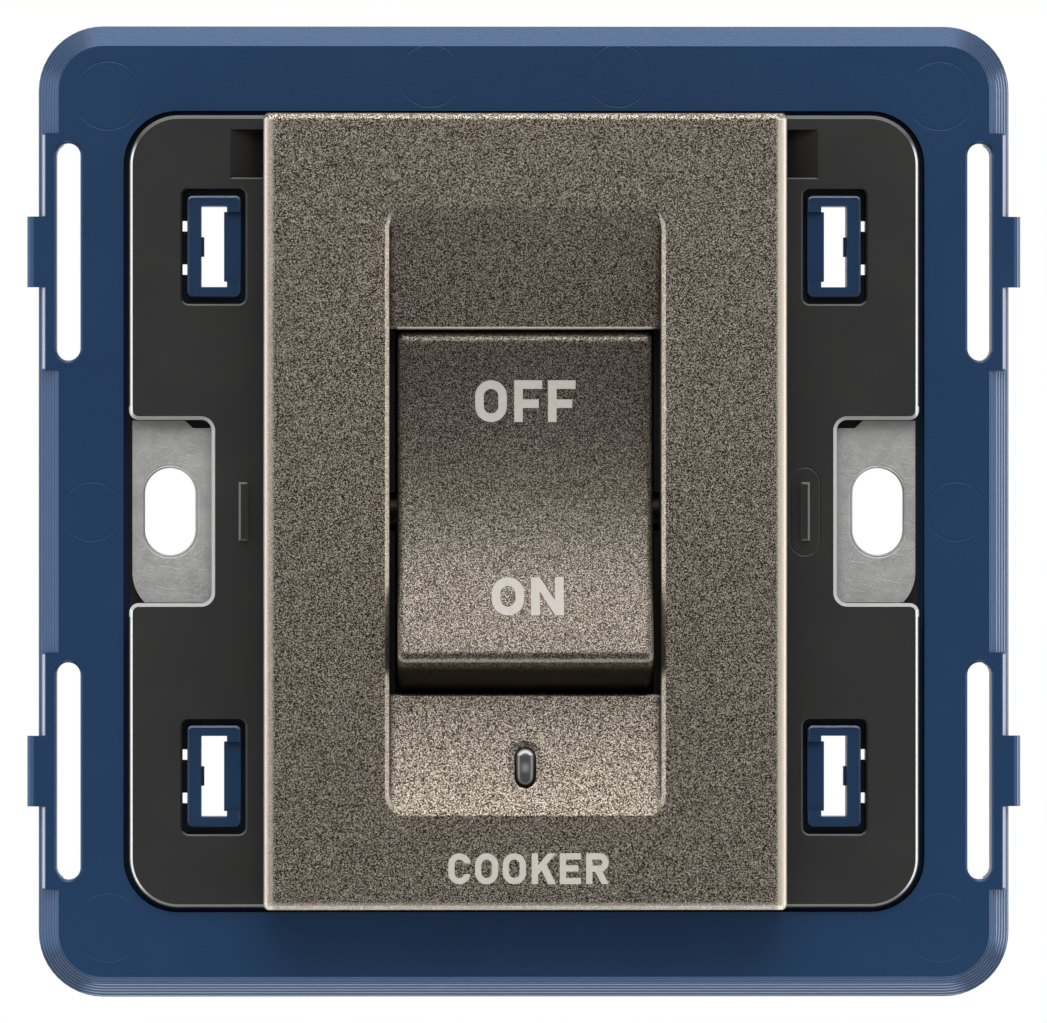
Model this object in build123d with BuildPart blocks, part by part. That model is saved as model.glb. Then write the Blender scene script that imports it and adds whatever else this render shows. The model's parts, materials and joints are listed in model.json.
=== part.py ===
from build123d import *
import os
from math import cos, radians, sin, sqrt

# A flush double-pole cooker switch on its mounting frame.
# Millimetres. +Z is up, +X is to the right of a person facing the switch and the room is at -Y.
# The origin is on the wall plane, midway between the two fixing slots.
# A height is a distance from the wall plane towards the room, so it is -Y.

# Fits
slip = 0.05
running_fit = 0.05
seat_gap = 0.15
same_place = 0.01
edge_slope = 45.0

# Fixing to the wall box
fixing_slot_inset = 3.45
fixing_slot_width = 4.3
fixing_slot_length = 7.4
fixing_slot_edge = 0.12

# Mounting frame
frame_border = 7.25
frame_corner = 5.5
frame_rise = 4.2
frame_bevel = 1.73
plate_gap_x = 0.5
plate_gap_z = 0.4
frame_opening_corner = 4.6
frame_skin = 1.6
frame_skirt = 2.05
frame_lip = 1.2
frame_ledge = 0.85
spring_slot_inset = 2.55
spring_slot_z = 22.1
spring_slot_width = 2.07
spring_slot_end = 0.85
spring_slot_edge = 0.2
spring_bar_length = 20.2
spring_bar_inset = 0.25
spring_bar_width = 1.7
spring_bar_round = 0.45
tab_length = 6.0
tab_reach = 0.95
tab_thickness = 1.6
tab_round = 0.7

# Sockets of the mounting frame for the legs of a cover plate
socket_x = 26.4
socket_z = 22.55
socket_width = 4.55
socket_length = 8.65
socket_hole_width = 2.2
socket_hole_length = 6.9
socket_top = 4.3
socket_corner = 0.45
socket_edge = 0.15
socket_bar_length = 5.9
socket_bar_drop = 0.5
socket_bar_lap = 0.25
socket_tooth_length = 1.65
arm_bottom = 0.2
arm_length = 10.4
arm_overlap = 0.4
arm_gap_length = 0.9
arm_gap_width = 0.5
arm_gap_up = 1.8
arm_gap_down = 1.9

# Support plate
plate_width = 67.2
plate_height = 67.4
plate_corner = 4.2
plate_bottom = 1.4
plate_top = 5.0
plate_edge = 0.3
window_width = 5.4
window_length = 9.8
window_corner = 0.6
window_edge = 0.15
notch_reach = 7.0
notch_length = 15.6
notch_corner = 0.9
notch_mouth = 0.8
notch_floor = 0.8
screw_way_width = 5.0
screw_way_length = 8.1
pocket_near = 21.7
pocket_inset = 3.25
pocket_width = 3.3
pocket_length = 4.1
pocket_depth = 1.6
pocket_lip = 0.12
rib_inset = 2.7
rib_width = 0.78
rib_length = 5.0
rib_rise = 0.5
rib_draft = 20.0
well_half_width = 11.0
well_half_length = 16.4
bearing_out = 13.7
bearing_block_out = 15.4
bearing_block_length = 8.0
bearing_block_bottom = -0.6

# Steel fixing lugs
lug_thickness = 1.2
lug_tail = 4.0
lug_inset = 0.25
lug_half_length = 7.75
lug_corner_radius = 3.65
lug_corner_rise = 2.55
lug_cut_depth = 0.65
lug_cut_start = 0.1
lug_cut_floor = 1.5
lug_cut_slope = 0.7

# Front cover
cover_width = 44.3
cover_corner = 0.5
cover_top = 11.5
cover_wall = 1.6
cover_round = 0.6
trough_width = 23.05
trough_length = 51.4
trough_corner = 1.9
trough_edge_angle = 16.0
trough_side_draft = 1.0
trough_edge_width = 0.35
rocker_hole_half_length = 15.28
rocker_hole_round = 0.4
hook_x = 16.6
hook_z = 22.5
hook_width = 5.0
hook_thickness = 1.3
hook_reach = 0.5
hook_nose = 1.0
hook_slot_play = 0.2

# Indicator
lamp_z = -21.66
lens_width = 1.62
lens_length = 3.26
lens_gap = 0.12
lens_proud = 0.3
lens_dome = 0.45
lens_back = 7.4
lens_flange = 0.7
lens_flange_thickness = 0.9
lamp_radius = 2.4
lamp_tip = 6.6
lamp_base = -2.4
lamp_hole_radius = 2.8
lamp_tip_round = 1.5

# Rocker, drawn at rest with its ON end out
rocker_tilt = 10.0
pivot_height = 4.0
rocker_width = 21.6
rocker_end_gap = 0.35
rocker_chord = 27.7
rocker_face_radius = 50.0
rocker_edge_round = 0.85
rocker_side_round = 0.6
rocker_wall = 1.6
rocker_skirt = 2.5
trunnion_radius = 1.6
trunnion_out = 13.5
tube_x = 5.2
tube_radius = 2.8
tube_bore = 2.0
tube_end = 6.0
tube_roof = 3.3
tube_web = 2.4

# Plungers and their springs
plunger_top = 2.4
plunger_shoulder = 7.2
plunger_tip_radius = 1.2
plunger_tip_reach = 10.0
spring_wire = 0.25
spring_turns = 4
spring_sides = 4

# Contact levers
lever_tilt = 9.5
fulcrum_height = -7.65
fulcrum_radius = 0.9
lever_under = 0.3
lever_thickness = 1.2
lever_half_length = 10.5
lever_width = 5.0
contact_reach = 9.0
contact_radius = 1.6
contact_thickness = 0.8

# Current strips and terminals
strip_thickness = 1.0
strip_top = -10.45
fixed_strip_near = 6.6
terminal_x = 9.5
terminal_width = 9.5
terminal_length = 10.0
terminal_inset = 2.4
terminal_wire_height = -16.6
terminal_wire_radius = 3.2
terminal_screw_radius = 2.45
terminal_screw_tip = -20.0
terminal_screw_end = -26.6
screw_slot_width = 0.9
screw_slot_depth = 1.2

# Switch base
base_half_width = 20.2
base_half_length = 28.4
base_bottom = -27.0
base_floor = 2.6
base_wall = 1.8
flange_inset = 0.7
flange_bottom = -0.8
rib_wall = 1.2
rib_play = 0.1
barrier_top = -5.5
wire_entry_radius = 4.0
screw_entry_radius = 3.0
entry_edge = 0.4
back_field_width = 30.0
back_field_length = 24.0
back_field_corner = 1.5
back_field_depth = 0.4
housing_screw_x = 17.0
housing_screw_inset = 2.95
housing_screw_way = 0.5
housing_screw_radius = 1.3
housing_screw_tip = 4.4
housing_screw_head_radius = 2.2
housing_screw_head = 1.7
housing_cross = 3.0

# Lamp wiring
lead_radius = 0.3
lead_sides = 8
lead_pitch = 0.9
lead_side = 4.4
resistor_radius = 1.1
resistor_top = -4.2
resistor_bottom = -9.0

# Derived sizes
fixing_centres = plate_width - 2 * fixing_slot_inset
cover_height = plate_height
pocket_far = pocket_near + pocket_width
pocket_end = plate_height / 2 - pocket_inset - pocket_length / 2
housing_screw_z = plate_height / 2 - housing_screw_inset
flange_half_width = cover_width / 2
flange_half_length = plate_height / 2 - flange_inset
terminal_far = base_half_length - terminal_inset
terminal_near = terminal_far - terminal_length
frame_opening_width = plate_width + 2 * plate_gap_x
frame_opening_height = plate_height + 2 * plate_gap_z
frame_width = frame_opening_width + 2 * frame_border
frame_height = frame_opening_height + 2 * frame_border
spring_slot_x = frame_width / 2 - spring_slot_inset
spring_slot_length = spring_bar_length - 2 * spring_slot_end
spring_bar_out = frame_width / 2 - spring_bar_inset
spring_bar_in = spring_bar_out - spring_bar_width
tab_out = frame_width / 2 + tab_reach
lug_out = plate_width / 2 - lug_inset
lug_bottom = plate_bottom + notch_floor
notch_in = plate_width / 2 - notch_reach
rib_x = notch_in - rib_inset
lug_in = notch_in - lug_tail
lug_cut_in = notch_in + lug_cut_start
lug_cut_end = lug_cut_in + lug_cut_floor
lug_corner_run = lug_corner_radius - sqrt(lug_corner_radius**2 - lug_corner_rise**2)
trough_radius = trough_length / 2 / sin(radians(trough_edge_angle))
trough_centre = cover_top + trough_radius * cos(radians(trough_edge_angle))
rocker_hole_edge = trough_centre - sqrt(trough_radius**2 - rocker_hole_half_length**2)
rocker_hole_radius = sqrt(rocker_hole_half_length**2 + (rocker_hole_edge - pivot_height) ** 2)
rocker_radius = rocker_hole_radius - rocker_end_gap
drum_box = 2 * rocker_radius + rocker_skirt
rocker_face_edge = sqrt(rocker_radius**2 - (rocker_chord / 2) ** 2)
rocker_face_centre = rocker_face_edge + sqrt(rocker_face_radius**2 - (rocker_chord / 2) ** 2)
lever_groove_radius = fulcrum_radius + running_fit
strip_bottom = strip_top - strip_thickness
base_inside = base_bottom + base_floor
cavity_half_width = base_half_width - base_wall
cavity_half_length = terminal_far + rib_play
trough_floor_at_lamp = trough_centre - sqrt(trough_radius**2 - lamp_z**2)
contact_low = contact_thickness - lever_under
contact_far = contact_reach + contact_radius
lever_drop = contact_far * sin(radians(lever_tilt)) + contact_low * cos(radians(lever_tilt))
fixed_tip_top = fulcrum_height - lever_drop - seat_gap


# A plane facing the room at a height, with local axes X and Z.
def front(height):
    return Plane.XZ.offset(height)


# A plane seen from the right with local axes up and towards the room, its top leaned inwards.
def side(height, lean=0.0, across=0.0):
    up = (0, sin(radians(lean)), cos(radians(lean)))
    return Plane(origin=(across, -height, 0), x_dir=up, z_dir=(1, 0, 0))


# A plane facing the room and leaning with the rocker, at a distance from its pivot.
def rocker_front(distance):
    lean = radians(rocker_tilt)
    outwards = (0, -cos(lean), sin(lean))
    return Plane(origin=(0, -pivot_height, 0), x_dir=(1, 0, 0), z_dir=outwards).offset(distance)


# The moulded frame that lies on the wall, with its sprung tabs and the sockets for a cover plate
with BuildPart() as mounting_frame:
    with BuildSketch(front(0)):
        RectangleRounded(frame_width, frame_height, frame_corner)
    extrude(amount=frame_rise)
    chamfer(mounting_frame.faces().sort_by(Axis.Y)[0].edges(), length=frame_bevel)
    with BuildSketch(front(plate_bottom)):
        RectangleRounded(frame_opening_width, frame_opening_height, frame_opening_corner)
    extrude(amount=frame_rise, mode=Mode.SUBTRACT)
    rear_width = frame_opening_width - 2 * frame_ledge
    rear_height = frame_opening_height - 2 * frame_ledge
    with BuildSketch(front(0)):
        RectangleRounded(rear_width, rear_height, frame_opening_corner - frame_ledge)
    extrude(amount=frame_rise, mode=Mode.SUBTRACT)
    hollow_width = frame_width - 2 * frame_skirt
    hollow_height = frame_height - 2 * frame_skirt
    with BuildSketch(front(0)):
        RectangleRounded(hollow_width, hollow_height, frame_corner - frame_skirt)
        RectangleRounded(
            frame_opening_width + 2 * frame_lip,
            frame_opening_height + 2 * frame_lip,
            frame_opening_corner + frame_lip,
            mode=Mode.SUBTRACT,
        )
    extrude(amount=frame_rise - frame_skin, mode=Mode.SUBTRACT)
    with BuildSketch(front(frame_rise)):
        with GridLocations(spring_bar_in + spring_bar_out, 2 * spring_slot_z, 2, 2):
            Rectangle(spring_bar_out - spring_bar_in, spring_bar_length)
    extrude(amount=-frame_bevel)
    bar_edges = mounting_frame.faces().sort_by(Axis.Y)[0].edges().filter_by(Axis.Z)
    bar_edges = bar_edges.filter_by(lambda e: abs(abs(e.center().X) - spring_bar_out) < same_place)
    fillet(bar_edges, radius=spring_bar_round)
    with BuildSketch(front(frame_rise)):
        with GridLocations(spring_bar_in + tab_out, 2 * spring_slot_z, 2, 2):
            Rectangle(tab_out - spring_bar_in, tab_length)
    extrude(amount=-tab_thickness)
    tab_edges = mounting_frame.edges().filter_by(Axis.Z)
    tab_edges = tab_edges.filter_by(lambda e: abs(abs(e.center().X) - tab_out) < same_place)
    fillet(tab_edges.filter_by(lambda e: e.center().Y < -frame_rise + same_place), radius=tab_round)
    with BuildSketch(front(0)):
        with GridLocations(2 * spring_slot_x, 2 * spring_slot_z, 2, 2):
            SlotOverall(spring_slot_length, spring_slot_width, rotation=90)
    extrude(amount=frame_rise, mode=Mode.SUBTRACT)
    slot_rims = mounting_frame.edges().filter_by(lambda e: abs(e.center().Y + frame_rise) < same_place)
    slot_rims = slot_rims.filter_by(lambda e: abs(abs(e.center().X) - spring_slot_x) < spring_slot_width)
    slot_rims = slot_rims.filter_by(lambda e: abs(abs(e.center().Z) - spring_slot_z) < spring_slot_length / 2)
    chamfer(slot_rims, length=spring_slot_edge)
    arm_in = socket_x - window_width / 2 - arm_overlap
    arm_out = frame_opening_width / 2 + frame_lip / 2
    with BuildSketch(front(arm_bottom)):
        with GridLocations(arm_in + arm_out, 2 * socket_z, 2, 2):
            Rectangle(arm_out - arm_in, arm_length)
    extrude(amount=plate_bottom - arm_bottom)
    with BuildSketch(front(arm_bottom)):
        with GridLocations(2 * socket_x, 2 * socket_z, 2, 2):
            RectangleRounded(socket_width, socket_length, socket_corner)
    extrude(amount=socket_top - arm_bottom)
    socket_rims = mounting_frame.edges().filter_by(lambda e: abs(e.center().Y + socket_top) < same_place)
    chamfer(socket_rims, length=socket_edge)
    with BuildSketch(front(arm_bottom)):
        with GridLocations(2 * socket_x, 2 * socket_z, 2, 2):
            Rectangle(socket_hole_width, socket_hole_length)
    extrude(amount=socket_top - arm_bottom, mode=Mode.SUBTRACT)
    bar_in = socket_x - socket_width / 2
    bar_out = socket_x - socket_hole_width / 2 + socket_bar_lap
    tooth_x = socket_x + socket_hole_width / 2
    with BuildSketch(front(socket_top)):
        with GridLocations(bar_in + bar_out, 2 * socket_z, 2, 2):
            Rectangle(bar_out - bar_in, socket_bar_length)
    extrude(amount=-socket_bar_drop, mode=Mode.SUBTRACT)
    with BuildSketch(front(plate_bottom)):
        with GridLocations(bar_in + bar_out, 2 * socket_z, 2, 2):
            Rectangle(bar_out - bar_in, socket_bar_length)
    extrude(amount=socket_top - socket_bar_drop - plate_bottom)
    with BuildSketch(front(plate_bottom)):
        with GridLocations(2 * tooth_x, 2 * socket_z, 2, 2):
            Rectangle(2 * socket_bar_lap, socket_tooth_length)
    extrude(amount=(socket_top - plate_bottom) / 2)
    gap_x = socket_x + socket_width / 2 + arm_gap_width / 2
    with BuildSketch(front(arm_bottom)):
        with GridLocations(2 * gap_x, 2 * socket_z, 2, 2):
            with Locations((0, arm_gap_up), (0, -arm_gap_down)):
                Rectangle(arm_gap_width, arm_gap_length)
    extrude(amount=plate_bottom - arm_bottom, mode=Mode.SUBTRACT)

# The black plate that carries the rocker and holds the mounting frame and the fixing lugs
with BuildPart() as support_plate:
    with BuildSketch(front(plate_bottom)):
        RectangleRounded(plate_width, plate_height, plate_corner)
    extrude(amount=plate_top - plate_bottom)
    with BuildSketch(front(plate_top)):
        with GridLocations(2 * notch_in + plate_width, 0, 2, 1):
            RectangleRounded(plate_width, notch_length, notch_corner)
    extrude(amount=lug_bottom - plate_top, mode=Mode.SUBTRACT)
    mouths = support_plate.edges().filter_by(Axis.Y)
    mouths = mouths.filter_by(lambda e: abs(abs(e.center().Z) - notch_length / 2) < same_place)
    mouths = mouths.filter_by(lambda e: abs(abs(e.center().X) - plate_width / 2) < same_place)
    fillet(mouths, radius=notch_mouth)
    chamfer(support_plate.faces().sort_by(Axis.Y)[0].edges(), length=plate_edge)
    with BuildSketch(front(lug_bottom)):
        with GridLocations(lug_in + notch_in + notch_corner, 0, 2, 1):
            Rectangle(notch_in + notch_corner - lug_in + 2 * slip, 2 * (lug_half_length + slip))
    extrude(amount=lug_thickness + slip, mode=Mode.SUBTRACT)
    with BuildSketch(front(plate_bottom)):
        with GridLocations(fixing_centres, 0, 2, 1):
            SlotOverall(screw_way_length, screw_way_width, rotation=90)
    extrude(amount=notch_floor, mode=Mode.SUBTRACT)
    with BuildSketch(front(plate_bottom)):
        with GridLocations(2 * socket_x, 2 * socket_z, 2, 2):
            RectangleRounded(window_width, window_length, window_corner)
        with GridLocations(2 * hook_x, 2 * hook_z, 2, 2):
            Rectangle(hook_thickness + hook_reach + hook_slot_play, hook_width + hook_slot_play)
        with Locations((0, lamp_z)):
            Circle(lamp_hole_radius)
        with GridLocations(2 * housing_screw_x, 2 * housing_screw_z, 2, 2):
            Circle(housing_screw_radius + slip)
    extrude(amount=plate_top - plate_bottom, mode=Mode.SUBTRACT)
    window_rims = support_plate.edges().filter_by(lambda e: abs(e.center().Y + plate_top) < same_place)
    window_rims = window_rims.filter_by(lambda e: abs(abs(e.center().X) - socket_x) < window_width)
    window_rims = window_rims.filter_by(lambda e: abs(abs(e.center().Z) - socket_z) < window_length)
    chamfer(window_rims, length=window_edge)
    with BuildSketch(Plane.XY.offset(pocket_end)):
        with BuildLine():
            Polyline(
                (pocket_far, -plate_top),
                (pocket_near, -plate_top),
                (pocket_near, pocket_depth - plate_top),
                close=True,
            )
        make_face()
        mirror(about=Plane.YZ)
    extrude(amount=pocket_length, mode=Mode.SUBTRACT)
    for across in (pocket_near, -pocket_far):
        with BuildSketch(side(plate_top, 0, across)):
            with BuildLine():
                Polyline(
                    (pocket_end, 0),
                    (pocket_end - pocket_lip, 0),
                    (pocket_end, -pocket_lip),
                    close=True,
                )
            make_face()
        extrude(amount=pocket_width, mode=Mode.SUBTRACT)
    with BuildSketch(front(plate_top)):
        with Locations((rib_x, 0), (-rib_x, 0)):
            Rectangle(rib_width, rib_length)
    extrude(amount=rib_rise, taper=rib_draft)
    with BuildSketch(front(bearing_block_bottom)):
        with GridLocations(well_half_width + bearing_block_out, 0, 2, 1):
            Rectangle(bearing_block_out - well_half_width, bearing_block_length)
    extrude(amount=plate_bottom - bearing_block_bottom)
    with BuildSketch(front(bearing_block_bottom)):
        Rectangle(2 * well_half_width, 2 * well_half_length)
    extrude(amount=plate_top - bearing_block_bottom, mode=Mode.SUBTRACT)
    with BuildSketch(side(pivot_height)):
        Circle(trunnion_radius + running_fit)
        with Locations((0, plate_top - pivot_height)):
            Rectangle(2 * (trunnion_radius + running_fit), 2 * (plate_top - pivot_height))
    extrude(amount=bearing_out, both=True, mode=Mode.SUBTRACT)

# A steel fixing lug in its pocket of the plate, on the right or the left
def build_lug(way):
    with BuildPart() as lug:
        corner_start = (way * lug_out, lug_corner_rise - lug_half_length)
        corner_end = (way * (lug_out - lug_corner_run), -lug_half_length)
        with BuildSketch(front(lug_bottom)):
            with BuildLine():
                RadiusArc(corner_start, corner_end, way * lug_corner_radius)
                Polyline(
                    corner_end,
                    (way * lug_in, -lug_half_length),
                    (way * lug_in, lug_half_length),
                    (way * lug_cut_in, lug_half_length),
                    (way * lug_cut_in, lug_half_length - lug_cut_depth),
                    (way * lug_cut_end, lug_half_length - lug_cut_depth),
                    (way * (lug_cut_end + lug_cut_slope), lug_half_length),
                    (way * lug_out, lug_half_length),
                    corner_start,
                )
            make_face()
            with Locations((way * fixing_centres / 2, 0)):
                SlotOverall(fixing_slot_length, fixing_slot_width, rotation=90, mode=Mode.SUBTRACT)
        extrude(amount=lug_thickness)
        lug_top = lug_bottom + lug_thickness
        rims = lug.edges().filter_by(lambda e: abs(e.center().Y + lug_top) < same_place)
        rims = rims.filter_by(lambda e: abs(abs(e.center().X) - fixing_centres / 2) < fixing_slot_width * 0.6)
        rims = rims.filter_by(lambda e: abs(e.center().Z) < fixing_slot_length * 0.6)
        chamfer(rims, length=fixing_slot_edge)
    return lug.part


# The hollow that the trough and the rocker's opening take out of the front cover
with BuildPart() as trough_cut:
    with BuildSketch(front(cover_top)):
        RectangleRounded(trough_width, trough_length, trough_corner)
    extrude(amount=-cover_top, taper=trough_side_draft)
    edge_width = trough_width + 2 * trough_edge_width
    edge_length = trough_length + 2 * trough_edge_width
    with BuildSketch(front(cover_top)):
        RectangleRounded(edge_width, edge_length, trough_corner + trough_edge_width)
    extrude(amount=-trough_edge_width, taper=edge_slope)
    with BuildSketch(side(0)):
        with Locations((0, trough_centre)):
            Circle(trough_radius)
        with Locations((0, pivot_height)):
            Circle(rocker_hole_radius)
    extrude(amount=trough_width, both=True, mode=Mode.INTERSECT)

# The front cover, a shell with a trough that leads down to the rocker
with BuildPart() as front_cover:
    with BuildSketch(front(plate_top)):
        RectangleRounded(cover_width, cover_height, cover_corner)
    extrude(amount=cover_top - plate_top)
    fillet(front_cover.faces().sort_by(Axis.Y)[0].edges(), radius=cover_round)
    with BuildSketch(front(plate_top)):
        Rectangle(cover_width - 2 * cover_wall, cover_height - 2 * cover_wall)
    extrude(amount=cover_top - cover_wall - plate_top, mode=Mode.SUBTRACT)
    with BuildSketch(side(0)):
        with Locations((0, trough_centre)):
            Circle(trough_radius + cover_wall)
        with Locations((0, cover_top - cover_wall / 2)):
            Rectangle(cover_height, 2 * cover_top, align=(Align.CENTER, Align.MAX), mode=Mode.INTERSECT)
    extrude(amount=trough_width / 2 + cover_wall, both=True)
    add(trough_cut.part, mode=Mode.SUBTRACT)
    hole_edges = front_cover.edges().filter_by(Axis.X)
    hole_edges = hole_edges.filter_by(lambda e: abs(e.center().Y + rocker_hole_edge) < same_place)
    fillet(hole_edges, radius=rocker_hole_round)
    keeper_bottom = pivot_height + trunnion_radius + running_fit
    keeper_middle = (trough_width + cover_wall) / 2
    with BuildSketch(front(keeper_bottom)):
        with GridLocations(2 * keeper_middle, 0, 2, 1):
            Rectangle(cover_wall, 2 * trunnion_radius)
    extrude(amount=rocker_hole_edge - keeper_bottom)
    with BuildSketch(front(plate_bottom - hook_nose)):
        with GridLocations(2 * hook_x - hook_reach, 2 * hook_z, 2, 2):
            Rectangle(hook_thickness, hook_width)
    extrude(amount=cover_top - cover_wall - plate_bottom + hook_nose)
    with BuildSketch(front(plate_bottom)):
        with GridLocations(2 * hook_x, 2 * hook_z, 2, 2):
            Rectangle(hook_thickness + hook_reach, hook_width)
    extrude(amount=-hook_nose)
    with BuildSketch(front(plate_top)):
        with Locations((0, lamp_z)):
            SlotOverall(lens_length + 2 * lens_gap, lens_width + 2 * lens_gap, rotation=90)
    extrude(amount=cover_top, mode=Mode.SUBTRACT)

# The clear lens of the indicator
with BuildPart() as indicator_lens:
    with BuildSketch(front(lens_back)):
        with Locations((0, lamp_z)):
            SlotOverall(lens_length, lens_width, rotation=90)
    extrude(amount=trough_floor_at_lamp + lens_proud - lens_back)
    chamfer(indicator_lens.faces().sort_by(Axis.Y)[0].edges(), length=lens_dome)
    with BuildSketch(front(lens_back)):
        with Locations((0, lamp_z)):
            SlotOverall(lens_length + 2 * lens_flange, lens_width + 2 * lens_flange, rotation=90)
    extrude(amount=lens_flange_thickness)

# The rocker, a hollow slice of a drum about its pivot, with a dished face
with BuildPart() as rocker:
    with BuildSketch(side(pivot_height, rocker_tilt)):
        Circle(rocker_radius)
        with Locations((0, -rocker_skirt)):
            Rectangle(drum_box, drum_box, align=(Align.CENTER, Align.MIN), mode=Mode.INTERSECT)
        with Locations((0, rocker_face_centre)):
            Circle(rocker_face_radius, mode=Mode.SUBTRACT)
    extrude(amount=rocker_width / 2, both=True)
    face_edges = rocker.edges().filter_by(Axis.X)
    face_edges = face_edges.filter_by(lambda e: -e.center().Y > pivot_height + trunnion_radius)
    fillet(face_edges, radius=rocker_edge_round)
    side_edges = rocker.faces().filter_by(GeomType.CYLINDER).sort_by(Axis.Y)[0].edges()
    side_edges = side_edges.filter_by(lambda e: abs(e.center().X) > rocker_width / 2 - same_place)
    fillet(side_edges, radius=rocker_side_round)
    with BuildSketch(side(pivot_height, rocker_tilt)):
        Circle(rocker_radius - rocker_wall)
        with Locations((0, -rocker_skirt)):
            Rectangle(drum_box, drum_box, align=(Align.CENTER, Align.MIN), mode=Mode.INTERSECT)
        with Locations((0, rocker_face_centre)):
            Circle(rocker_face_radius + rocker_wall, mode=Mode.SUBTRACT)
    extrude(amount=rocker_width / 2 - rocker_wall, both=True, mode=Mode.SUBTRACT)
    with BuildSketch(side(pivot_height, rocker_tilt)):
        Circle(trunnion_radius)
    extrude(amount=trunnion_out, both=True)
    with BuildSketch(rocker_front(-tube_end)):
        with GridLocations(2 * tube_x, 0, 2, 1):
            Circle(tube_radius)
        Rectangle(2 * tube_x, tube_web)
    extrude(amount=tube_end + tube_roof + rocker_wall)
    with BuildSketch(rocker_front(-tube_end)):
        with GridLocations(2 * tube_x, 0, 2, 1):
            Circle(tube_bore)
    extrude(amount=tube_end + tube_roof, mode=Mode.SUBTRACT)


# One spring-loaded plunger, at its place across the switch
def build_plunger(across):
    lean = radians(rocker_tilt)
    inwards = (0, cos(lean), -sin(lean))
    tip_centre = plunger_tip_reach - plunger_tip_radius
    body_radius = tube_bore - running_fit
    with BuildPart() as plunger:
        with BuildSketch(side(pivot_height, rocker_tilt, across)):
            with BuildLine():
                Polyline(
                    (0, -plunger_top),
                    (body_radius, -plunger_top),
                    (body_radius, -plunger_shoulder),
                    (plunger_tip_radius, -tip_centre),
                )
                RadiusArc((plunger_tip_radius, -tip_centre), (0, -plunger_tip_reach), plunger_tip_radius)
                Line((0, -plunger_tip_reach), (0, -plunger_top))
            make_face()
        revolve(axis=Axis((across, -pivot_height, 0), inwards))
    return plunger.part


# The coil spring above a plunger, between its top and the roof of the tube
def build_spring(across):
    lean = radians(rocker_tilt)
    outwards = (0, -cos(lean), sin(lean))
    coil_radius = tube_bore - spring_wire - 2 * running_fit
    first = -plunger_top + spring_wire + slip
    last = tube_roof - spring_wire - slip
    start = (across, -pivot_height + first * outwards[1], first * outwards[2])
    with BuildPart() as spring:
        with BuildLine() as coil:
            Helix((last - first) / spring_turns, last - first, coil_radius, center=start, direction=outwards)
        with BuildSketch(Plane(origin=coil.line @ 0, z_dir=coil.line % 0)):
            RegularPolygon(spring_wire, spring_sides)
        sweep()
    return spring.part


# A rocking contact lever, at its place across the switch, with its contact end up
def build_lever(across):
    with BuildPart() as lever:
        with BuildSketch(side(fulcrum_height, -lever_tilt, across)):
            with Locations((0, lever_under + lever_thickness / 2)):
                Rectangle(2 * lever_half_length, lever_thickness)
            Circle(lever_groove_radius, mode=Mode.SUBTRACT)
        extrude(amount=lever_width / 2, both=True)
    return lever.part


# The silver tip under the upper end of a lever
def build_lever_tip(across):
    lean = radians(-lever_tilt)
    outwards = (0, -cos(lean), sin(lean))
    seat = Plane(origin=(across, -fulcrum_height, 0), x_dir=(1, 0, 0), z_dir=outwards).offset(lever_under)
    with BuildPart() as tip:
        with BuildSketch(seat):
            with Locations((0, contact_reach)):
                Circle(contact_radius)
        extrude(amount=-contact_thickness)
    return tip.part


# The strip from an upper terminal to its fixed contact
def build_fixed_contact(across, terminal):
    with BuildPart() as strip:
        with BuildSketch(front(strip_bottom)):
            middle = (fixed_strip_near + terminal_near) / 2
            with Locations((across, middle)):
                Rectangle(lever_width, terminal_near - fixed_strip_near)
            with Locations((terminal, (terminal_near + terminal_far) / 2)):
                Rectangle(terminal_width, terminal_far - terminal_near)
        extrude(amount=strip_thickness)
    return strip.part


# The silver tip on a fixed contact
def build_fixed_tip(across):
    reach = contact_reach * cos(radians(lever_tilt))
    with BuildPart() as tip:
        with BuildSketch(front(strip_top)):
            with Locations((across, reach)):
                Circle(contact_radius)
        extrude(amount=fixed_tip_top - strip_top)
    return tip.part


# The strip from a lower terminal with the post that a lever rocks on
def build_fulcrum(across, terminal):
    with BuildPart() as fulcrum:
        with BuildSketch(front(strip_bottom)):
            with Locations((across, (fulcrum_radius - terminal_near) / 2)):
                Rectangle(lever_width, terminal_near + fulcrum_radius)
            with Locations((terminal, -(terminal_near + terminal_far) / 2)):
                Rectangle(terminal_width, terminal_far - terminal_near)
        extrude(amount=strip_thickness)
        with BuildSketch(side(fulcrum_height, 0, across)):
            Circle(fulcrum_radius)
            with Locations((0, (strip_bottom - fulcrum_height) / 2)):
                Rectangle(2 * fulcrum_radius, fulcrum_height - strip_bottom)
        extrude(amount=lever_width / 2, both=True)
    return fulcrum.part


# A brass terminal block with a hole for the wire and one for the clamping screw
def build_terminal(across, way):
    middle = way * (terminal_near + terminal_far) / 2
    length = terminal_far - terminal_near
    with BuildPart() as block:
        with BuildSketch(front(base_inside)):
            with Locations((across, middle)):
                Rectangle(terminal_width, length)
        extrude(amount=strip_bottom - base_inside)
        with BuildSketch(Plane.XY.offset(middle)):
            with Locations((across, -terminal_wire_height)):
                Circle(terminal_wire_radius)
        extrude(amount=length, both=True, mode=Mode.SUBTRACT)
        with BuildSketch(front(base_inside)):
            with Locations((across, middle)):
                Circle(terminal_screw_radius + running_fit)
        extrude(amount=terminal_wire_height - base_inside, mode=Mode.SUBTRACT)
    return block.part


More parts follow.
